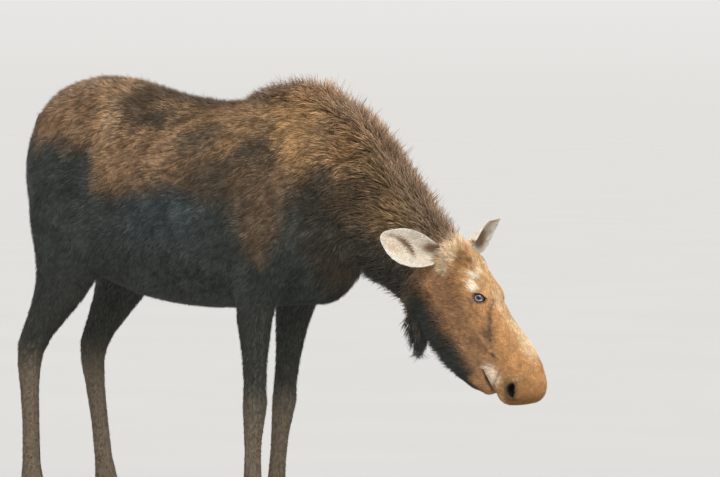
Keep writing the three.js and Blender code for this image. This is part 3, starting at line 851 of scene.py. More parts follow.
def face_colours(colour, z, fine, strands):
    """The face's own markings, laid over the body's."""
    mottle = 0.6 * fine + 0.4 * strands - 0.5
    u, side = z.u + 0.035 * mottle, np.abs(z.s)
    ragged = copy.copy(z)
    ragged.a = z.a + 0.036 * (cloud(z.points, *FACE_ALONG) - 0.5)
    ragged.u = z.u + 0.036 * (cloud(z.points, *FACE_LIFT) - 0.5)
    head = z.head
    upper = ramp(u, -0.105, -0.035) * ramp(z.a, 0.02, 0.07)
    snout = ramp(z.a + 0.08 * mottle, 0.38, 0.48) * ramp(u, -0.18, -0.12)
    brow = ramp(u, -0.060, -0.005) * ramp(z.a, 0.30, 0.20)
    # The top of the nose: its paler hair, brightened as painted light on its top face, and a narrow painted
    # highlight along its top line.
    bridge = ramp(u, -0.014, 0.022) * ramp(side, 0.062, 0.034) * ramp(z.a, 0.19, 0.27) * ramp(z.a, 0.57, 0.46)
    crown_highlight = ramp(u, 0.004, 0.030) * ramp(side, 0.050, 0.028)
    crown_highlight = crown_highlight * ramp(z.a, 0.20, 0.28) * ramp(z.a, 0.57, 0.48)
    back = ramp(z.a + 0.08 * mottle, 0.11, -0.02) * ramp(u, -0.110, -0.170)
    colour = paint(
        colour,
        (head, CHEEK),
        (head * ramp(strands, 0.50, 0.70) * 0.35, HONEY),  # lighter and darker strands
        (head * ramp(strands, 0.44, 0.28) * 0.30, BROWN),
        (head * upper * 0.85, HONEY),
        (head * snout * 0.9, SNOUT),
        (head * brow * (0.3 + 0.8 * fine), PALE_NOSE),
        (head * bridge, PALE_NOSE),
        # a painted highlight along the top line of the nose
        (head * 0.7 * crown_highlight, CREAM),
        (head * ramp(z.a, 0.520, 0.610) * ramp(u, 0.01, -0.05) * 0.95, RUST),  # end of the nose
        (head * ramp(u, -0.160, -0.225) * ramp(z.a, 0.56, 0.47), UMBER),  # under the jaw
        (head * ramp(u, -0.190, -0.240) * ramp(z.a, 0.54, 0.46), JAW_DARK),
        (head * back, UMBER),
    )
    for centre, radii, tint, strength in FACE_MARKS:
        for sign in (-1, 1):
            share = ramp(head_near(ragged, centre, radii, sign), 0.0, 0.75)
            colour = paint(colour, (head * share * strength * (0.55 + 0.9 * fine), tint))
    # Round each eye a near black rim: the lids' dark skin, with painted shade in it, and pink below.
    for sign in EYES.values():
        reach, past = past_lid(z.points, sign)
        rim = ramp(past, 0.36, 0.20) * ramp(reach, 0.034, 0.028)
        centre, _, ahead, over = gaze_frame(sign)
        low = ramp((z.points - centre) @ over + 0.4 * (z.points - centre) @ ahead, 0.000, -0.006)
        colour = paint(colour, (rim, DARK_SKIN_AND_SHADE), (0.65 * rim * low * ramp(past, 0.02, 0.10), LID_PINK))
    # the tear groove's dark hair, with painted shade in it
    for start, end, width, strength in TEAR_GROOVE_SHADE:
        colour = paint(colour, (strength * crease(ragged, start, end, width), UMBER))
    # painted shade in the head's creases, darker where they are deeper
    for start, end, width, depth in HEAD_CREASES:
        colour = paint(colour, (PAINTED_CREASE_SHADE * depth * crease(z, start, end, width), BROWN))
    # painted shade in the gap of the mouth, along its line
    for start, end, width, _ in MOUTH:
        colour = paint(colour, (0.8 * crease(z, start, end, 0.8 * width), UMBER))
    # Each nostril: a brown ring round it and near black in it, its dark skin with the painted shade of the
    # deep pit.
    colour = paint(colour, (1.1 * nostril_share(z, 0.016), UMBER))
    return paint(colour, (1.6 * nostril_share(z, 0.001), DARK_SKIN_AND_SHADE))


def ear_axes(name):
    """Root of an ear, the way to its tip, and the way across it."""
    root, points_to, opens = EARS[name]
    axis = unit(head_direction(*points_to)[None])[0]
    return root, axis, unit(np.cross(head_direction(*opens), axis)[None])[0]


def ear_frame(zones, name):
    """Share of the way to an ear's tip, and distance across it."""
    root, axis, across = ear_axes(name)
    away = zones.points - root
    share = away @ axis / EAR_LENGTH
    return share, away @ across - EAR_BOW[name] * np.sin(np.pi * np.clip(share, 0, 1))


# Half width of an ear at shares of the way to its tip.
EAR_HALF_WIDTH = ((0.0, 0.2, 0.45, 0.75, 0.93, 1.0), (0.030, 0.050, 0.062, 0.047, 0.024, 0.010))
# The brown patch of painted shade deep in each cup, at its root: share of the way to the tip and reach,
# distance across and half width.
EAR_ROOT_SHADE = {"ear_right": (0.18, 0.11, -0.018, 0.017), "ear_left": (0.40, 0.15, -0.012, 0.026)}
# The brown line of painted shade along the fold in each cup: its distance across at shares of the way to the
# tip, and its strength.
EAR_FOLD_SHADE = ((0.36, 0.42, 0.50, 0.60, 0.72, 0.93), (0.020, 0.009, -0.006, -0.016, -0.021, -0.012))
FOLD_SHADE_WIDTH = 0.0095
FOLD_SHADE_STRENGTH = {"ear_right": 1.0, "ear_left": 0.35}


def blot(share, across, centre, reach, middle_across, width):
    """1 at a place in an ear, falling away round it."""
    return np.exp(-(((share - centre) / reach) ** 2) - ((across - middle_across) / width) ** 2)


def ear_colours(colour, z, fine):
    """Pale ears with a white rim, a brown line of painted shade hooked round the cup along its fold, and
    painted shade deep in the cup at its root.
    """
    colour = paint(colour, (z.ear, EAR_PALE))
    for name in EARS:
        mine = z.parts[name]
        share, across = ear_frame(z, name)
        edge = np.abs(across) / np.interp(share, *EAR_HALF_WIDTH)
        inside = ramp(edge, 0.92, 0.76) * ramp(share, 1.0, 0.94) * mine
        # the fold's painted shade, a brown line hooked across the cup
        off_fold_shade = across - np.interp(share, *EAR_FOLD_SHADE)
        fold_shade = np.exp(-((off_fold_shade / FOLD_SHADE_WIDTH) ** 2))
        fold_shade = fold_shade * ramp(share, 0.34, 0.42) * ramp(share, 0.96, 0.80)
        fold_shade *= (1.7 - 1.1 * ramp(share, 0.5, 0.75)) * FOLD_SHADE_STRENGTH[name]
        warm = blot(share, across, 0.74, 0.16, 0.020, 0.018)
        # painted shade deep in the cup, at its root
        root = blot(share, across, *EAR_ROOT_SHADE[name])
        colour = paint(
            colour,
            (0.55 * inside * warm * (0.5 + fine), GOLD),
            (inside * fold_shade * (0.4 + 1.0 * fine), EAR_SHADE_BROWN),
            (1.8 * mine * root * (0.5 + 0.8 * fine), EAR_SHADE_BROWN),
            (mine * ramp(edge, 0.84, 0.98) * ramp(share, 0.12, 0.3), EAR_RIM),
        )
    return colour


def store_colours(mesh, colours):
    layer = mesh.color_attributes.new("tint", "FLOAT_COLOR", "POINT")
    opaque = np.concatenate([colours, np.ones((len(colours), 1))], axis=1)
    layer.data.foreach_set("color", opaque.astype(np.float32).ravel())


def store_values(mesh, name, values):
    layer = mesh.attributes.get(name) or mesh.attributes.new(name, "FLOAT", "POINT")
    layer.data.foreach_set("value", values.astype(np.float32))


# ---- Coat ---------------------------------------------------------------------------------------

COAT_SHARE = 1.0
SWIRL, WAVE = (0.09, 21), (0.030, 25)  # size and seed of the noises that turn the hair


def lie_of_coat(zones):
    """The way the hair points before it is laid on the skin, and how far it is then turned on it."""
    z = zones
    back, down = np.array([0.0, 1.0, 0.0]), np.array([0.0, 0.0, -1.0])
    out = np.stack([np.sign(z.l), np.zeros(len(z.l)), np.zeros(len(z.l))], axis=1)
    steep = 0.65 + 0.5 * ramp(z.h, 1.35, 0.95) + 1.3 * ramp(z.f, -0.80, -1.02) * ramp(z.h, 1.60, 1.30)
    body = back + down * steep[:, None] + out * (0.3 * ramp(z.h, 1.3, 1.6))[:, None]
    along_neck = unit((back * 0.85 + UP * 0.53)[None])[0]
    neck = along_neck + down * (0.95 - 0.5 * ramp(z.over, 0.0, 0.15))[:, None] + out * 0.15
    fall = (0.25 + 0.85 * ramp(z.u, -0.01, -0.12))[:, None]
    cheek = -ALONG - LIFT * fall + SIDE * (np.sign(z.s) * 0.30 * ramp(np.abs(z.s), 0.0, 0.03))[:, None]
    ears = [(z.parts[name][:, None], head_direction(*points_to)) for name, (_, points_to, _) in EARS.items()]
    lie = layered(
        body,
        (z.neck[:, None], neck),
        (z.leg[:, None], down + back * 0.18),
        (z.head[:, None], cheek),
        *ears,
        (np.maximum(z.bell, z.tail)[:, None], down + back * 0.1),
    )
    swirl = cloud(z.points, *SWIRL) - 0.5
    wave = cloud(z.points, *WAVE) - 0.5
    return unit(lie), (1.7 * swirl + 0.8 * wave) * (1 - 0.6 * z.leg) * (1 - 0.5 * z.ear)


def coat_shape(zones):
    """Length of a tuft, its width, how far its tip stands off the skin, and tufts per square metre."""
    z = zones
    muzzle = ramp(z.a, 0.28, 0.52)
    eyes = near_eyes(z, 0.050)
    length = layered(
        0.031 + 0.022 * z.neck + 0.026 * z.throat + 0.008 * z.ridge,
        (z.crest, 0.078),
        (z.leg, 0.030 - 0.012 * z.shank + 0.010 * z.foot),
        (z.head, 0.0170 - 0.0090 * muzzle + 0.026 * z.jaw + 0.014 * z.poll - 0.006 * eyes * (1 - muzzle)),
        (z.ear, 0.020),
        (z.bell, 0.060),
        (z.tail, 0.045),
    )
    width = layered(
        0.0028 + 0.0004 * z.neck,
        (z.crest, 0.0024),
        (z.leg, 0.0032 - 0.0010 * z.shank),
        (z.head, 0.0022 - 0.0007 * muzzle + 0.0008 * z.jaw),
        (z.ear, 0.0017),
    )
    rise = coat_depth(z) * (1 - 0.15 * z.neck) + 0.010 * z.jaw + 0.014 * z.bell + 0.014 * z.crest
    crowd = layered(
        60000 - 28000 * z.neck,
        (z.crest, 46000),
        (z.leg, 38000 + 10000 * z.shank),
        (z.head, 125000 + 50000 * muzzle - 65000 * z.jaw),
        (z.ear, 130000),
        (np.maximum(z.bell, z.tail), 45000),
    )
    return length, width, rise, crowd


HOOF_RIM = np.array([0.0, 0.0, 0.020])  # the coat falls over this much of a hoof's top


def on_horn(points):
    """True for each point in the box of a hoof, below the rim that the coat falls over."""
    inside = np.zeros(len(points), bool)
    for name in HORN:
        if "hoof" in name:
            low, high = box_corners(name)
            inside |= np.all((points > low) & (points < high - HOOF_RIM), axis=1)
    return inside


def bare(zones):
    """True where no tuft grows: in the nostrils, on the hooves and the eyes, and in the mouth's line."""
    z = zones
    shut = (nostril_share(z, 0.001) > 0.05) | on_horn(z.points)
    for sign in EYES.values():
        reach, past = past_lid(z.points, sign)
        shut |= (reach < SOCKET_REACH) & (past < 0.20)
    for start, end, width, _ in MOUTH:
        shut |= crease(z, start, end, width) > 0.55
    return shut


def scatter_roots(mesh, rng):
    """Roots spread over the skin, closer where the coat is finer, with the way the skin faces and zones."""
    corners = triangle_corners(mesh)
    points, directions = coordinates(mesh), normals(mesh)
    parts = {name: read_values(mesh, name) for name in COAT_PARTS}
    a, b, c = (points[corners[:, i]] for i in range(3))
    area = np.linalg.norm(np.cross(b - a, c - a), axis=1) / 2
    middles = Zones((a + b + c) / 3, {name: values[corners].mean(axis=1) for name, values in parts.items()})
    crowd = coat_shape(middles)[3]
    edges = np.concatenate([[0.0], np.cumsum(area * crowd * COAT_SHARE)])
    count = int(edges[-1])
    picks = (np.arange(count) + rng.random(count)) * (edges[-1] / count)
    face = np.clip(np.searchsorted(edges, picks, "right") - 1, 0, len(corners) - 1)
    u, v = np.sqrt(rng.random(count)), rng.random(count)
    shares = np.stack([1 - u, u * (1 - v), u * v], axis=1)
    trio = corners[face]
    roots = np.einsum("ni,nij->nj", shares, points[trio])
    facing = unit(np.einsum("ni,nij->nj", shares, directions[trio]))
    zones = Zones(roots, {name: np.einsum("ni,ni->n", shares, v[trio]) for name, v in parts.items()})
    keep = ~bare(zones)
    return roots[keep], facing[keep], Zones(roots[keep], {n: v[keep] for n, v in zones.parts.items()})


def skin_tree(mesh):
    """Search tree over the skin's triangles."""
    return BVHTree.FromPolygons(coordinates(mesh).tolist(), triangle_corners(mesh).tolist())


def laid_on(tree, points):
    """Nearest place on the skin to each point, and the way the skin faces there."""
    places, facing = np.empty_like(points), np.empty_like(points)
    for index, point in enumerate(points.tolist()):
        place, normal, _, _ = tree.find_nearest(point)
        places[index], facing[index] = place, normal
    return places, facing


UNWRAP_TRIANGLES = 12000


def unwrap(skin):
    """An unwrap of the skin's own shape, on a lighter copy: its search tree, corners and flat corners."""
    light = add_object("unwrap", skin.data.copy())
    thin = light.modifiers.new("light", "DECIMATE")
    thin.ratio = UNWRAP_TRIANGLES / (2 * len(light.data.polygons))
    with_modifiers(light)
    bpy.ops.object.select_all(action="DESELECT")
    light.select_set(True)
    bpy.context.view_layer.objects.active = light
    bpy.ops.object.mode_set(mode="EDIT")
    bpy.ops.mesh.select_all(action="SELECT")
    bpy.ops.uv.smart_project(angle_limit=math.radians(66), island_margin=0.004)
    bpy.ops.object.mode_set(mode="OBJECT")
    mesh = light.data
    mesh.calc_loop_triangles()
    points = [Vector(p) for p in coordinates(mesh)]
    flat = mesh.uv_layers.active.data
    faces = [tuple(t.vertices) for t in mesh.loop_triangles]
    flats = [[Vector((*flat[loop].uv, 0)) for loop in t.loops] for t in mesh.loop_triangles]
    bpy.data.objects.remove(light)
    return BVHTree.FromPolygons(points, faces), points, faces, flats


def flat_places(roots, unwrapped):
    """Where each root lies on the unwrap."""
    tree, points, faces, flats = unwrapped
    places = np.empty((len(roots), 2))
    for i, root in enumerate(roots.tolist()):
        spot, _, index, _ = tree.find_nearest(root)
        a, b, c = (points[v] for v in faces[index])
        flat = barycentric_transform(spot, a, b, c, *flats[index])
        places[i] = flat.x, flat.y
    return np.clip(places, 0, 1)


TUFT_SIDES = 3
PATCH = 0.003  # width of a tuft's patch on the unwrap
LENGTHS, WIDTHS = (0.65, 1.2), (0.7, 1.3)  # least and greatest, as shares of what coat_shape says
FREE_LEAST, LAID_LEAST = 0.42, 0.35  # least share of its full rise that a tuft stands
TURN_SPREAD = 0.16
STRAY_SHARE = 0.07  # tufts that stand out of the coat, and how they differ from the others
STRAY_RISE, STRAY_WIDTH, STRAY_TURN = 1.5, 0.7, 0.4
CLUMP = 0.018  # tufts whose roots share a space of about this size lean together
CLUMP_SEEDS = (51, 52, 53)
LOCK_SIZE = np.array([0.009, 0.016, 0.010])  # tufts in a space of this size share some of their shade
LOCK_WARP, LOCK_WARP_SEEDS, LOCK_SEED = 0.030, (61, 63, 65), 67


def hangs_free(zones):
    """True where a tuft runs straight on past the skin, as on the jaw, the bell and the crest."""
    z = zones
    coronet = z.leg * ramp(z.h, 0.13, 0.11)
    tail_end = z.tail * ramp(z.h, 1.48, 1.44)
    return np.maximum.reduce([z.bell, z.jaw, z.poll, 0.9 * z.throat, z.crest, tail_end, coronet]) > 0.45


def tuft_rings(tree, roots, facing, free, lie, turn, length, width, rise, rng, steps):
    """Rings of corners along each tuft, which leaves the skin at its root and lies down along it."""
    count = len(roots)
    length = length * rng.uniform(*LENGTHS, count)
    width = width * rng.uniform(*WIDTHS, count)
    least = np.where(free, FREE_LEAST, LAID_LEAST)
    rise = np.minimum(rise, 0.92 * length) * (least + (1 - least) * rng.random(count) ** 1.4)
    stray = rng.random(count) < STRAY_SHARE * np.clip(rise / 0.014, 1, 2)
    rise = np.where(stray, rise * STRAY_RISE, rise)
    width = np.where(stray, width * STRAY_WIDTH, width)
    turn = turn + np.where(stray, rng.normal(0, STRAY_TURN, count), 0)
    run = np.sqrt(np.maximum(length**2 - (1.15 * rise) ** 2, (0.25 * length) ** 2))
    turn = turn + rng.normal(0, TURN_SPREAD, count)
    cell = np.floor(roots / CLUMP).astype(np.int64)
    jitter = np.stack([cell_noise(cell, seed) for seed in CLUMP_SEEDS], axis=1)
    pull = (cell + 0.25 + 0.5 * jitter) * CLUMP - roots
    pull = (pull - facing * np.sum(pull * facing, axis=1)[:, None]) * np.clip(length / 0.05, 0, 1)[:, None]
    rings = np.empty((count, steps, TUFT_SIDES, 3))
    place, normal, centre = roots, facing, roots - facing * 0.001
    for step in range(steps + 1):
        along = unit(lie - normal * np.sum(lie * normal, axis=1)[:, None])
        across = np.cross(normal, along)
        along = along * np.cos(turn)[:, None] + across * np.sin(turn)[:, None]
        across = np.cross(normal, along)
        if step:
            share = step / steps
            place = place + along * (run / steps)[:, None] + pull * (0.45 / steps)
            normal = normal.copy()
            place[~free], normal[~free] = laid_on(tree, place[~free])
            height = rise * (1 - (1 - share) ** 1.7)
            new_centre = place + normal * height[:, None]
            heading = unit(new_centre - centre)
            centre = new_centre
        else:
            heading = along
        if step == steps:
            break
        half = (width * 0.5 * (1 - step / steps) ** 0.55)[:, None]
        over = unit(np.cross(heading, across) * -1)
        rings[:, step, 0] = centre - across * half
        rings[:, step, 1] = centre + across * half
        rings[:, step, 2] = centre + over * half * 0.8
    return np.concatenate([rings.reshape(count, -1, 3), centre[:, None, :]], axis=1)


def tuft_faces(steps):
    """Corners of one closed tuft's triangles."""
    faces = [(2, 1, 0)]
    for step in range(steps - 1):
        for side in range(TUFT_SIDES):
            a, b = step * TUFT_SIDES + side, step * TUFT_SIDES + (side + 1) % TUFT_SIDES
            faces += [(a, b, b + TUFT_SIDES), (a, b + TUFT_SIDES, a + TUFT_SIDES)]
    last, tip = (steps - 1) * TUFT_SIDES, steps * TUFT_SIDES
    return faces + [(last + side, last + (side + 1) % TUFT_SIDES, tip) for side in range(TUFT_SIDES)]


def clump_shade(roots, face, rng):
    """Lightness from 0 to 1 for each tuft, partly shared by the tufts of a lock."""
    warp = np.stack([cloud(roots, LOCK_WARP, seed) - 0.5 for seed in LOCK_WARP_SEEDS], axis=1)
    size = LOCK_SIZE * (1 - 0.35 * face)[:, None]
    cell = np.floor(roots / size + warp * 2.0).astype(np.int64)
    return 0.68 * ramp(cell_noise(cell, LOCK_SEED), 0.1, 0.9) + 0.32 * rng.random(len(roots))


def tuft_mesh(name, points, shade, root_colours, tip_colours, places, steps):
    """One joined mesh of tufts, with its colours and its patches on the unwrap."""
    count, stride = points.shape[:2]
    faces = np.array(tuft_faces(steps))
    faces = (faces[None] + (np.arange(count) * stride)[:, None, None]).reshape(-1, 3)
    mesh = bpy.data.meshes.new(name)
    mesh.vertices.add(count * stride)
    mesh.loops.add(len(faces) * 3)
    mesh.polygons.add(len(faces))
    mesh.vertices.foreach_set("co", points.reshape(-1).astype(np.float32))
    mesh.loops.foreach_set("vertex_index", faces.reshape(-1).astype(np.int32))
    mesh.polygons.foreach_set("loop_start", np.arange(0, len(faces) * 3, 3, dtype=np.int32))
    mesh.update(calc_edges=True)
    tip = np.concatenate([np.repeat(np.arange(steps) / steps, TUFT_SIDES), [1.0]])
    colours = root_colours[:, None] * (1 - tip[None, :, None]) + tip_colours[:, None] * tip[None, :, None]
    store_colours(mesh, colours.reshape(-1, 3))
    store_values(mesh, "tip", np.tile(tip, count))
    store_values(mesh, "shade", np.repeat(shade, stride))
    spread = np.concatenate([np.tile([0.0, 1.0, 0.5], steps), [0.5]])
    flat = (places * (1 - PATCH))[:, None] + PATCH * np.stack([spread, tip], axis=1)[None]
    layer = mesh.uv_layers.new(name="OFBake")
    layer.data.foreach_set("uv", flat.reshape(-1, 2)[faces.reshape(-1)].astype(np.float32).ravel())
    shade_smooth(mesh)
    return add_object(name, mesh)


BEHIND_SHOULDER, BEFORE_HAUNCH = -0.30, -0.72  # forward places where the body's coat pieces part


def coat_piece_names(zones):
    """Which coat piece each root belongs to."""
    z = zones
    side = np.where(z.l >= 0, "left", "right")
    names = np.char.add("barrel_coat_", side)
    names = np.where(z.f > BEHIND_SHOULDER, np.char.add("shoulder_coat_", side), names)
    names = np.where(z.f < BEFORE_HAUNCH, np.char.add("haunch_coat_", side), names)
    names = np.where(z.leg > 0.5, "leg_coat", names)
    names = np.where(z.neck > 0.5, np.char.add("neck_coat_", side), names)
    names = np.where(z.crest > 0.35, "crest_coat", names)
    names = np.where((z.bell > 0.5) | (z.tail > 0.5), "bell_and_tail", names)
    face_side = np.where(z.s >= 0, "left", "right")
    names = np.where(z.head > 0.5, np.char.add("face_coat_", face_side), names)
    return np.where(z.ear > 0.5, "ear_coat", names)


COAT_SEED = 11
EVEN_SHADE = 0.6  # the shade that tufts have where they are all alike
COAT_STEPS = {"crest": 3, "bell": 3, "neck": 2}  # lengths that a tuft bends between; the others have 1


def build_coat(skin, material):
    """The coat's pieces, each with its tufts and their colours."""
    rng = np.random.default_rng(COAT_SEED)
    roots, facing, zones = scatter_roots(skin.data, rng)
    length, width, rise, _ = coat_shape(zones)
    lie, turn = lie_of_coat(zones)
    free = hangs_free(zones)
    # Markings are read a little way off, so that single tufts mix where two colours meet.
    mixed = roots + rng.normal(0, 1, roots.shape) * (0.0015 + 0.013 * (zones.trunk + zones.neck))[:, None]
    root_colours, tip_colours = coat_colours(Zones(mixed, zones.parts))
    shade = clump_shade(roots, zones.head, rng)
    even = 0.75 * zones.ear + 0.35 * zones.head + 0.55 * zones.leg
    even = np.maximum(even, 0.55 * ramp(root_colours.mean(axis=1), 0.16, 0.09))
    shade = layered(shade, (even, EVEN_SHADE))
    places = flat_places(roots, unwrap(skin))
    names = coat_piece_names(zones)
    tree = skin_tree(skin.data)
    pieces = []
    for name in sorted(set(names)):
        mine = names == name
        kind = name.split("_")[0]
        steps = COAT_STEPS.get(kind, 1)
        fields = [field[mine] for field in (roots, facing, free, lie, turn, length, width, rise)]
        points = np.clip(tuft_rings(tree, *fields, rng, steps), cad_bounds[0], cad_bounds[1])
        painted = shade[mine], root_colours[mine], tip_colours[mine]
        piece = tuft_mesh(name, points, *painted, places[mine], steps)
        piece.data.materials.append(material)
        pieces.append(piece)
        print("coat", name, len(points), "tufts", len(piece.data.polygons), "triangles")
    return pieces


# ---- Materials ----------------------------------------------------------------------------------


def new_material(name, roughness, **sockets):
    """A material whose shader has these plain values, with its node tree."""
    material = bpy.data.materials.new(name)
    material.use_nodes = True
    shader = material.node_tree.nodes["Principled BSDF"]
    shader.inputs["Roughness"].default_value = roughness
    for socket, value in sockets.items():
        shader.inputs[socket.replace("_", " ")].default_value = value
    return material, material.node_tree, shader


def read_attribute(tree, name):
    reader = tree.nodes.new("ShaderNodeAttribute")
    reader.attribute_name = name
    return reader


def calculate(tree, operation, *terms):
    """A sum's outcome: each term is a number or another node's outcome."""
    sums = tree.nodes.new("ShaderNodeMath")
    sums.operation = operation
    for socket, term in zip(sums.inputs, terms):
        if isinstance(term, bpy.types.NodeSocket):
            tree.links.new(term, socket)
        else:
            socket.default_value = term
    return sums.outputs[0]


def spread_over(tree, value, low, high, start=0.0, end=1.0):
    """A value from start to end, spread over low to high."""
    spread = tree.nodes.new("ShaderNodeMapRange")
    for socket, number in (("From Min", start), ("From Max", end), ("To Min", low), ("To Max", high)):
        spread.inputs[socket].default_value = number
    tree.links.new(value, spread.inputs["Value"])
    return spread.outputs["Result"]


def grain(tree, scale=None, detail=2):
    """Noise on the piece's own coordinates, as a node. Its scale may be linked later."""
    place = tree.nodes.new("ShaderNodeTexCoord")
    noise = tree.nodes.new("ShaderNodeTexNoise")
    noise.inputs["Detail"].default_value = detail
    if scale:
        noise.inputs["Scale"].default_value = scale
    tree.links.new(place.outputs["Object"], noise.inputs["Vector"])
    return noise


def shades_along(tree, value, *stops):
    """A colour for each value, between these stops of a position and a colour."""
    shades = tree.nodes.new("ShaderNodeValToRGB")
    first, last = shades.color_ramp.elements
    first.position, last.position = stops[0][0], stops[-1][0]
    first.color, last.color = (*stops[0][1], 1), (*stops[-1][1], 1)
    for position, colour in stops[1:-1]:
        shades.color_ramp.elements.new(position).color = (*colour, 1)
    tree.links.new(value, shades.inputs["Fac"])
    return shades.outputs["Color"]


def raise_surface(tree, shader, height, strength, distance):
    """Bumps on a shader, from this height."""
    bump = tree.nodes.new("ShaderNodeBump")
    bump.inputs["Strength"].default_value = strength
    bump.inputs["Distance"].default_value = distance
    tree.links.new(height, bump.inputs["Height"])
    tree.links.new(bump.outputs["Normal"], shader.inputs["Normal"])


HAIR_INPUTS = {
    "Tint": "NodeSocketColor",
    "Tip": "NodeSocketFloat",
    "Shade": "NodeSocketFloat",
    "Scale": "NodeSocketFloat",
}
HAIR_OUTPUTS = {
    "Color": "NodeSocketColor",
    "Roughness": "NodeSocketFloat",
    "Height": "NodeSocketFloat",
}


def hair_group():
    """Colour of hair from its marking: darker at the root, uneven from tuft to tuft and in fine patches."""
    group = bpy.data.node_groups.new("hair colour", "ShaderNodeTree")
    for sockets, way in ((HAIR_INPUTS, "INPUT"), (HAIR_OUTPUTS, "OUTPUT")):
        for name, kind in sockets.items():
            group.interface.new_socket(name, in_out=way, socket_type=kind)
    link = group.links.new
    inputs, outputs = group.nodes.new("NodeGroupInput").outputs, group.nodes.new("NodeGroupOutput").inputs
    noise = grain(group, detail=4)
    link(inputs["Scale"], noise.inputs["Scale"])
    root_to_tip = spread_over(group, inputs["Tip"], 0.55, 1.20)
    tuft = spread_over(group, inputs["Shade"], 0.35, 1.65)
    patch = spread_over(group, noise.outputs["Fac"], 0.8, 1.2, 0.3, 0.7)
    scaled = group.nodes.new("ShaderNodeVectorMath")
    scaled.operation = "SCALE"
    link(inputs["Tint"], scaled.inputs[0])
    both = calculate(group, "MULTIPLY", root_to_tip, tuft)
    link(calculate(group, "MULTIPLY", both, patch), scaled.inputs["Scale"])
    link(scaled.outputs[0], outputs["Color"])
    link(spread_over(group, noise.outputs["Fac"], 0.62, 0.86), outputs["Roughness"])
    link(noise.outputs["Fac"], outputs["Height"])
    return group


def hair_on(material_tree, shader, hair, **values):
    """The hair group on a shader, with its tint from the markings and these values: its node."""
    group = material_tree.nodes.new("ShaderNodeGroup")
    group.node_tree = hair
    for socket, value in values.items():
        group.inputs[socket].default_value = value
    link = material_tree.links.new
    link(read_attribute(material_tree, "tint").outputs["Color"], group.inputs["Tint"])
    link(group.outputs["Color"], shader.inputs["Base Color"])
    link(group.outputs["Roughness"], shader.inputs["Roughness"])
    return group


def coat_material(hair):
    """The tufts: darker at the root, each with its own shade."""
    material, tree, shader = new_material("coat", 0.75, Specular_IOR_Level=0.14)
    group = hair_on(tree, shader, hair, Scale=60)
    tree.links.new(read_attribute(tree, "tip").outputs["Fac"], group.inputs["Tip"])
    tree.links.new(read_attribute(tree, "shade").outputs["Fac"], group.inputs["Shade"])
    return material


def skin_material(hair):
    """The skin: the coat's markings as they look between the roots, with a fine grain."""
    material, tree, shader = new_material("skin", 0.8, Specular_IOR_Level=0.12)
    group = hair_on(tree, shader, hair, Scale=260, Tip=0.35, Shade=0.4)
    raise_surface(tree, shader, group.outputs["Height"], 0.5, 0.002)
    return material


def horn_material():
    """Hoof horn: near black, with faint rings of growth and a fine grain."""
    material, tree, shader = new_material("horn", 0.5, Specular_IOR_Level=0.4)
    place = tree.nodes.new("ShaderNodeTexCoord")
    rings = tree.nodes.new("ShaderNodeTexWave")
    rings.bands_direction = "Z"
    rings.inputs["Scale"].default_value = 95
    rings.inputs["Distortion"].default_value = 5.0
    rings.inputs["Detail"].default_value = 3
    tree.links.new(place.outputs["Object"], rings.inputs["Vector"])
    faint = calculate(tree, "MULTIPLY", rings.outputs["Fac"], 0.35)
    worn = calculate(tree, "ADD", faint, grain(tree, 180, 6).outputs["Fac"])
    shades = shades_along(tree, worn, (0.0, (0.022, 0.018, 0.015)), (1.0, (0.052, 0.040, 0.031)))
    tree.links.new(shades, shader.inputs["Base Color"])
    raise_surface(tree, shader, worn, 0.4, 0.0010)
    return material


# Colours of an eye from its pupil to its rim, at shares of the way out.
IRIS_RINGS = [
    (0.00, (0.003, 0.003, 0.004)),  # pupil
    (0.34, (0.004, 0.004, 0.006)),
    (0.42, (0.130, 0.120, 0.120)),  # iris
    (0.75, (0.060, 0.046, 0.040)),
    (1.00, (0.030, 0.020, 0.016)),
]
SKY_REFLECTION_TINT = (0.47, 0.50, 0.60, 1)  # colour of the painted reflection of the pale sky


def eye_material():
    """A wet eye: a black lying pupil, a grey-brown uneven iris, and a painted reflection of the pale sky,
    milky blue, low on it.
    """
    wet = {"Specular_IOR_Level": 0.3, "Coat_Weight": 0.35, "Coat_Roughness": 0.02}
    material, tree, shader = new_material("eye", 0.05, **wet)
    link = tree.links.new
    uneven = grain(tree, 900).outputs["Fac"]
    iris = read_attribute(tree, "iris").outputs["Fac"]
    height = read_attribute(tree, "height").outputs["Fac"]
    rings = shades_along(tree, calculate(tree, "MULTIPLY_ADD", uneven, 0.06, iris), *IRIS_RINGS)
    # Where the painted reflection lies: low on the eye, kept off its top and its upper front corner, which
    # the lids shade.
    low = shades_along(tree, height, (0.42, (1, 1, 1)), (0.58, (0, 0, 0)))
    clear = spread_over(tree, iris, 0.0, 1.0, 0.40, 0.54)
    painted_reflection = tree.nodes.new("ShaderNodeMix")
    painted_reflection.data_type = "RGBA"
    painted_reflection.inputs["B"].default_value = SKY_REFLECTION_TINT
    link(calculate(tree, "MULTIPLY", low, clear), painted_reflection.inputs["Factor"])
    link(rings, painted_reflection.inputs["A"])
    link(painted_reflection.outputs["Result"], shader.inputs["Base Color"])
    return material


def floor_material():
    """A plain pale floor, a little uneven in its grey."""
    material, tree, shader = new_material("studio floor", 0.85, Specular_IOR_Level=0.2)
    greys = (0.0, (0.40, 0.395, 0.390)), (1.0, (0.43, 0.425, 0.420))
    shades = shades_along(tree, grain(tree, 0.6).outputs["Fac"], *greys)
    tree.links.new(shades, shader.inputs["Base Color"])
    return material


# ---- Eyes and hooves ----------------------------------------------------------------------------


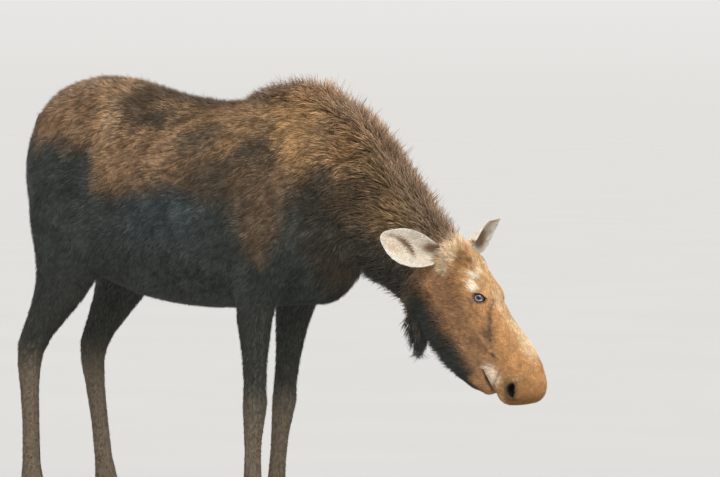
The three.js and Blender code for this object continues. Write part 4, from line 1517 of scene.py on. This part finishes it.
def build_eye(name, sign, material):
    """An eyeball with a raised cornea, looking out and a little ahead."""
    centre, gaze, ahead, over = gaze_frame(sign)
    ball = bmesh.new()
    bmesh.ops.create_uvsphere(ball, u_segments=64, v_segments=40, radius=EYE_RADIUS)
    turn = Vector((0, 0, 1)).rotation_difference(Vector(gaze)).to_matrix().to_4x4()
    bmesh.ops.transform(ball, matrix=Matrix.Translation(Vector(centre)) @ turn, verts=ball.verts)
    mesh = bpy.data.meshes.new(name + "_ball")
    ball.to_mesh(mesh)
    ball.free()
    points = coordinates(mesh)
    away = (points - centre) / EYE_RADIUS
    cornea = ramp(away @ gaze, 0.72, 0.95)
    iris = np.where(away @ gaze > 0, np.hypot(away @ ahead * 0.80, away @ over * 1.15), 1.0)
    store_values(mesh, "iris", np.clip(iris, 0, 1))
    # How high each point is on the eye, raised at its upper front corner: the painted reflection lies only
    # where this is low.
    corner = ramp(away @ ahead * 0.75 + away @ over * 0.65, 0.30, 0.62)
    store_values(mesh, "height", 0.5 + 0.5 * (away @ over) + 0.5 * corner)
    set_coordinates(mesh, points + (points - centre) * (0.03 * cornea)[:, None])
    shade_smooth(mesh)
    mesh.materials.append(material)
    piece = add_object(name + "_ball", mesh)
    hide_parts(name)
    return piece


LID_STEPS = 64
# Rings of a lid from its edge outwards: angle past the opening, and distance from the eye's middle
# in eye radii.
LID_RINGS = [
    (-0.010, 0.985),
    (0.000, 1.060),
    (0.035, 1.100),
    (0.090, 1.125),
    (0.160, 1.135),
    (0.250, 1.125),
    (0.350, 1.100),
    (0.460, 1.050),
    (0.560, 0.980),
]


def add_lids(skin):
    """Joins both eyes' lids to the skin's mesh, each spun from a ring pulled out over the skin."""
    whole = bmesh.new()
    whole.from_mesh(skin.data)
    for sign in EYES.values():
        centre, gaze, ahead, over = gaze_frame(sign)
        ring = bmesh.ops.create_circle(whole, segments=LID_STEPS, radius=EYE_RADIUS)["verts"]
        faces = []
        for number, (past, reach) in enumerate(LID_RINGS):
            if number:
                edges = ring_edges(ring)
                grown = bmesh.ops.extrude_edge_only(whole, edges=edges)["geom"]
                faces += [item for item in grown if isinstance(item, bmesh.types.BMFace)]
                ring = ring_partners(ring, grown)
            for step, vertex in enumerate(ring):
                turn = 2 * math.pi * step / LID_STEPS
                c, s = math.cos(turn), math.sin(turn)
                fold = 0.035 * max(0.0, s) * math.sin(math.pi * min(1.0, max(0.0, past) / 0.5)) ** 2
                angle = float(lid_opening(c, s)) + past
                heading = gaze * math.cos(angle) + (ahead * c + over * s) * math.sin(angle)
                vertex.co = Vector(centre + heading * EYE_RADIUS * (reach + fold))
        for face in faces:
            face.smooth = True
            face.normal_update()
        outwards = sum(face.normal.dot(face.calc_center_median() - Vector(centre)) for face in faces)
        if outwards < 0:
            bmesh.ops.reverse_faces(whole, faces=faces)
    whole.normal_update()
    whole.to_mesh(skin.data)
    whole.free()


def ring_edges(ring):
    """The edges that join the corners of a ring, each once and in order."""
    corners = set(ring)
    near_ring = (edge for vertex in ring for edge in vertex.link_edges)
    return list(dict.fromkeys(edge for edge in near_ring if corners.issuperset(edge.verts)))


def ring_partners(ring, grown):
    """The new corner that each corner of the last ring was pulled out to, in the same order."""
    fresh = {item for item in grown if isinstance(item, bmesh.types.BMVert)}
    return [next(e.other_vert(old) for e in old.link_edges if e.other_vert(old) in fresh) for old in ring]


# Hooves and dewclaws: size of their quads, and how often they are evened out.
HOOF_VOXEL, HOOF_ROUNDS = 0.0024, 18
CLAW_VOXEL, CLAW_ROUNDS = 0.0020, 6
SOLE = 0.003  # a hoof is flat below this height


def horn_copy(name, material):
    """A hoof or dewclaw with its edges rounded, flat where it meets the floor."""
    hoof = "hoof" in name
    solid = bmesh.new()
    solid.from_mesh(nodes[name].data)
    bmesh.ops.remove_doubles(solid, verts=solid.verts, dist=WELD)
    piece = even_quads(name + "_horn", solid, HOOF_VOXEL if hoof else CLAW_VOXEL)
    mesh = piece.data
    points = coordinates(mesh)
    low = points[:, 2].min()
    points = Relaxer(mesh).relax(points, np.ones(len(points)), HOOF_ROUNDS if hoof else CLAW_ROUNDS)
    if hoof:
        points[:, 2] = np.where(points[:, 2] < SOLE, low, points[:, 2])
    set_coordinates(mesh, points)
    shade_smooth(mesh)
    mesh.materials.append(material)
    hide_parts(name)
    return piece


# ---- Camera, light and floor --------------------------------------------------------------------

CAMERA_AZIMUTH = math.radians(-55)
CAMERA_DISTANCE, CAMERA_HEIGHT = 18.0, 1.61
LENS, SENSOR = 249.3, 36  # millimetres
CAMERA_PITCH, CAMERA_YAW, CAMERA_ROLL = math.radians(-1.58), math.radians(-0.63), math.radians(0.9)


def build_camera():
    """A long lens, level with the withers and well away."""
    data = bpy.data.cameras.new("camera")
    data.lens = LENS
    data.sensor_width = SENSOR
    data.clip_end = 200
    camera = add_object("camera", data)
    away = np.array([math.sin(CAMERA_AZIMUTH), -math.cos(CAMERA_AZIMUTH), 0.0])
    camera.location = WITHERS + away * CAMERA_DISTANCE + UP * CAMERA_HEIGHT
    turn = Matrix.Rotation(CAMERA_AZIMUTH + CAMERA_YAW, 3, "Z")
    turn = turn @ Matrix.Rotation(math.pi / 2 + CAMERA_PITCH, 3, "X")
    camera.rotation_euler = (turn @ Matrix.Rotation(CAMERA_ROLL, 3, "Z")).to_euler()
    bpy.context.scene.camera = camera


HORIZON = (0.761, 0.750, 0.727)  # the far floor's colour in this light
SKY = (0.98, 0.99, 1.0)
FLOOR_RADIUS = 400
LIGHT_AWAY = 6


def far_light(name, towards, strength, spread, warmth):
    """A soft light from far away, the same over the whole floor."""
    data = bpy.data.lights.new(name, "SUN")
    data.energy = strength
    data.angle = math.radians(spread)
    data.color = warmth
    light = add_object(name, data)
    light.location = Vector(towards) * LIGHT_AWAY
    light.rotation_euler = (-Vector(towards)).to_track_quat("-Z", "Y").to_euler()


def build_studio():
    """A wide pale floor under a pale sky, which meet without a line, and soft lights."""
    disc = bmesh.new()
    bmesh.ops.create_circle(disc, cap_ends=True, segments=96, radius=FLOOR_RADIUS)
    mesh = bpy.data.meshes.new("floor")
    disc.to_mesh(mesh)
    disc.free()
    mesh.materials.append(floor_material())
    add_object("floor", mesh)
    world = bpy.data.worlds.new("studio")
    world.use_nodes = True
    tree = world.node_tree
    sky = tree.nodes["Background"]
    sky.inputs["Strength"].default_value = 1.0
    place = tree.nodes.new("ShaderNodeTexCoord")
    split = tree.nodes.new("ShaderNodeSeparateXYZ")
    tree.links.new(place.outputs["Generated"], split.inputs[0])
    shades = shades_along(tree, split.outputs["Z"], (0.0, HORIZON), (0.10, SKY))
    tree.links.new(shades, sky.inputs["Color"])
    bpy.context.scene.world = world
    bpy.context.scene.view_settings.view_transform = "Standard"
    far_light("key", (-0.75, -0.62, 0.95), 2.7, 32, (1.0, 0.96, 0.90))
    far_light("rim", (0.60, 0.50, 0.90), 0.7, 30, (1.0, 0.98, 0.95))


# ---- Putting it together ------------------------------------------------------------------------

SKIN_TRIANGLES = 190000
HEAD_THINNING = 0.25  # how much the head's coated skin loses, against the body's


def triangles(mesh, chosen=None):
    """How many triangles a mesh makes, or only those of its faces that start at a chosen corner."""
    faces = (face for face in mesh.polygons if chosen is None or chosen[face.vertices[0]])
    return sum(len(face.vertices) - 2 for face in faces)


def lighten_skin(skin):
    """Fewer faces under the coat, and all of them kept on the muzzle and round the eyes."""
    zones = skin_zones(skin.data)
    head = (zones.head > 0.3) | (zones.ear > 0.3)
    fine = fine_skin(zones)
    print("skin", triangles(skin.data), "triangles,", triangles(skin.data, head), "on the head,",
          triangles(skin.data, fine), "of them fine")
    group = skin.vertex_groups.new(name="coated")
    group.add(np.flatnonzero(~head).tolist(), 1.0, "REPLACE")
    group.add(np.flatnonzero(head & ~fine).tolist(), HEAD_THINNING, "REPLACE")
    thin = skin.modifiers.new("lighter", "DECIMATE")
    thin.vertex_group = "coated"
    thin.ratio = min(1.0, SKIN_TRIANGLES / triangles(skin.data))
    with_modifiers(skin)
    skin.vertex_groups.clear()
    shade_smooth(skin.data)


def finish_skin(skin, material):
    """The lids, and the coat's own markings on the skin under it."""
    add_lids(skin)
    mesh = skin.data
    store_colours(mesh, coat_colours(skin_zones(mesh))[0])
    for name in COAT_PARTS:
        mesh.attributes.remove(mesh.attributes[name])
    shade_smooth(mesh)
    mesh.materials.append(material)
    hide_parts(*FLESH)
    print("skin", len(mesh.polygons), "faces,", triangles(mesh), "triangles")


build_camera()
build_studio()
hair = hair_group()
skin = build_skin()
lighten_skin(skin)
coat = build_coat(skin, coat_material(hair))
finish_skin(skin, skin_material(hair))
horn, wet = horn_material(), eye_material()
pieces = [skin, *coat, *(build_eye(name, sign, wet) for name, sign in EYES.items())]
pieces += [horn_copy(name, horn) for name in sorted(HORN)]
for piece in pieces:
    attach(piece, "root")
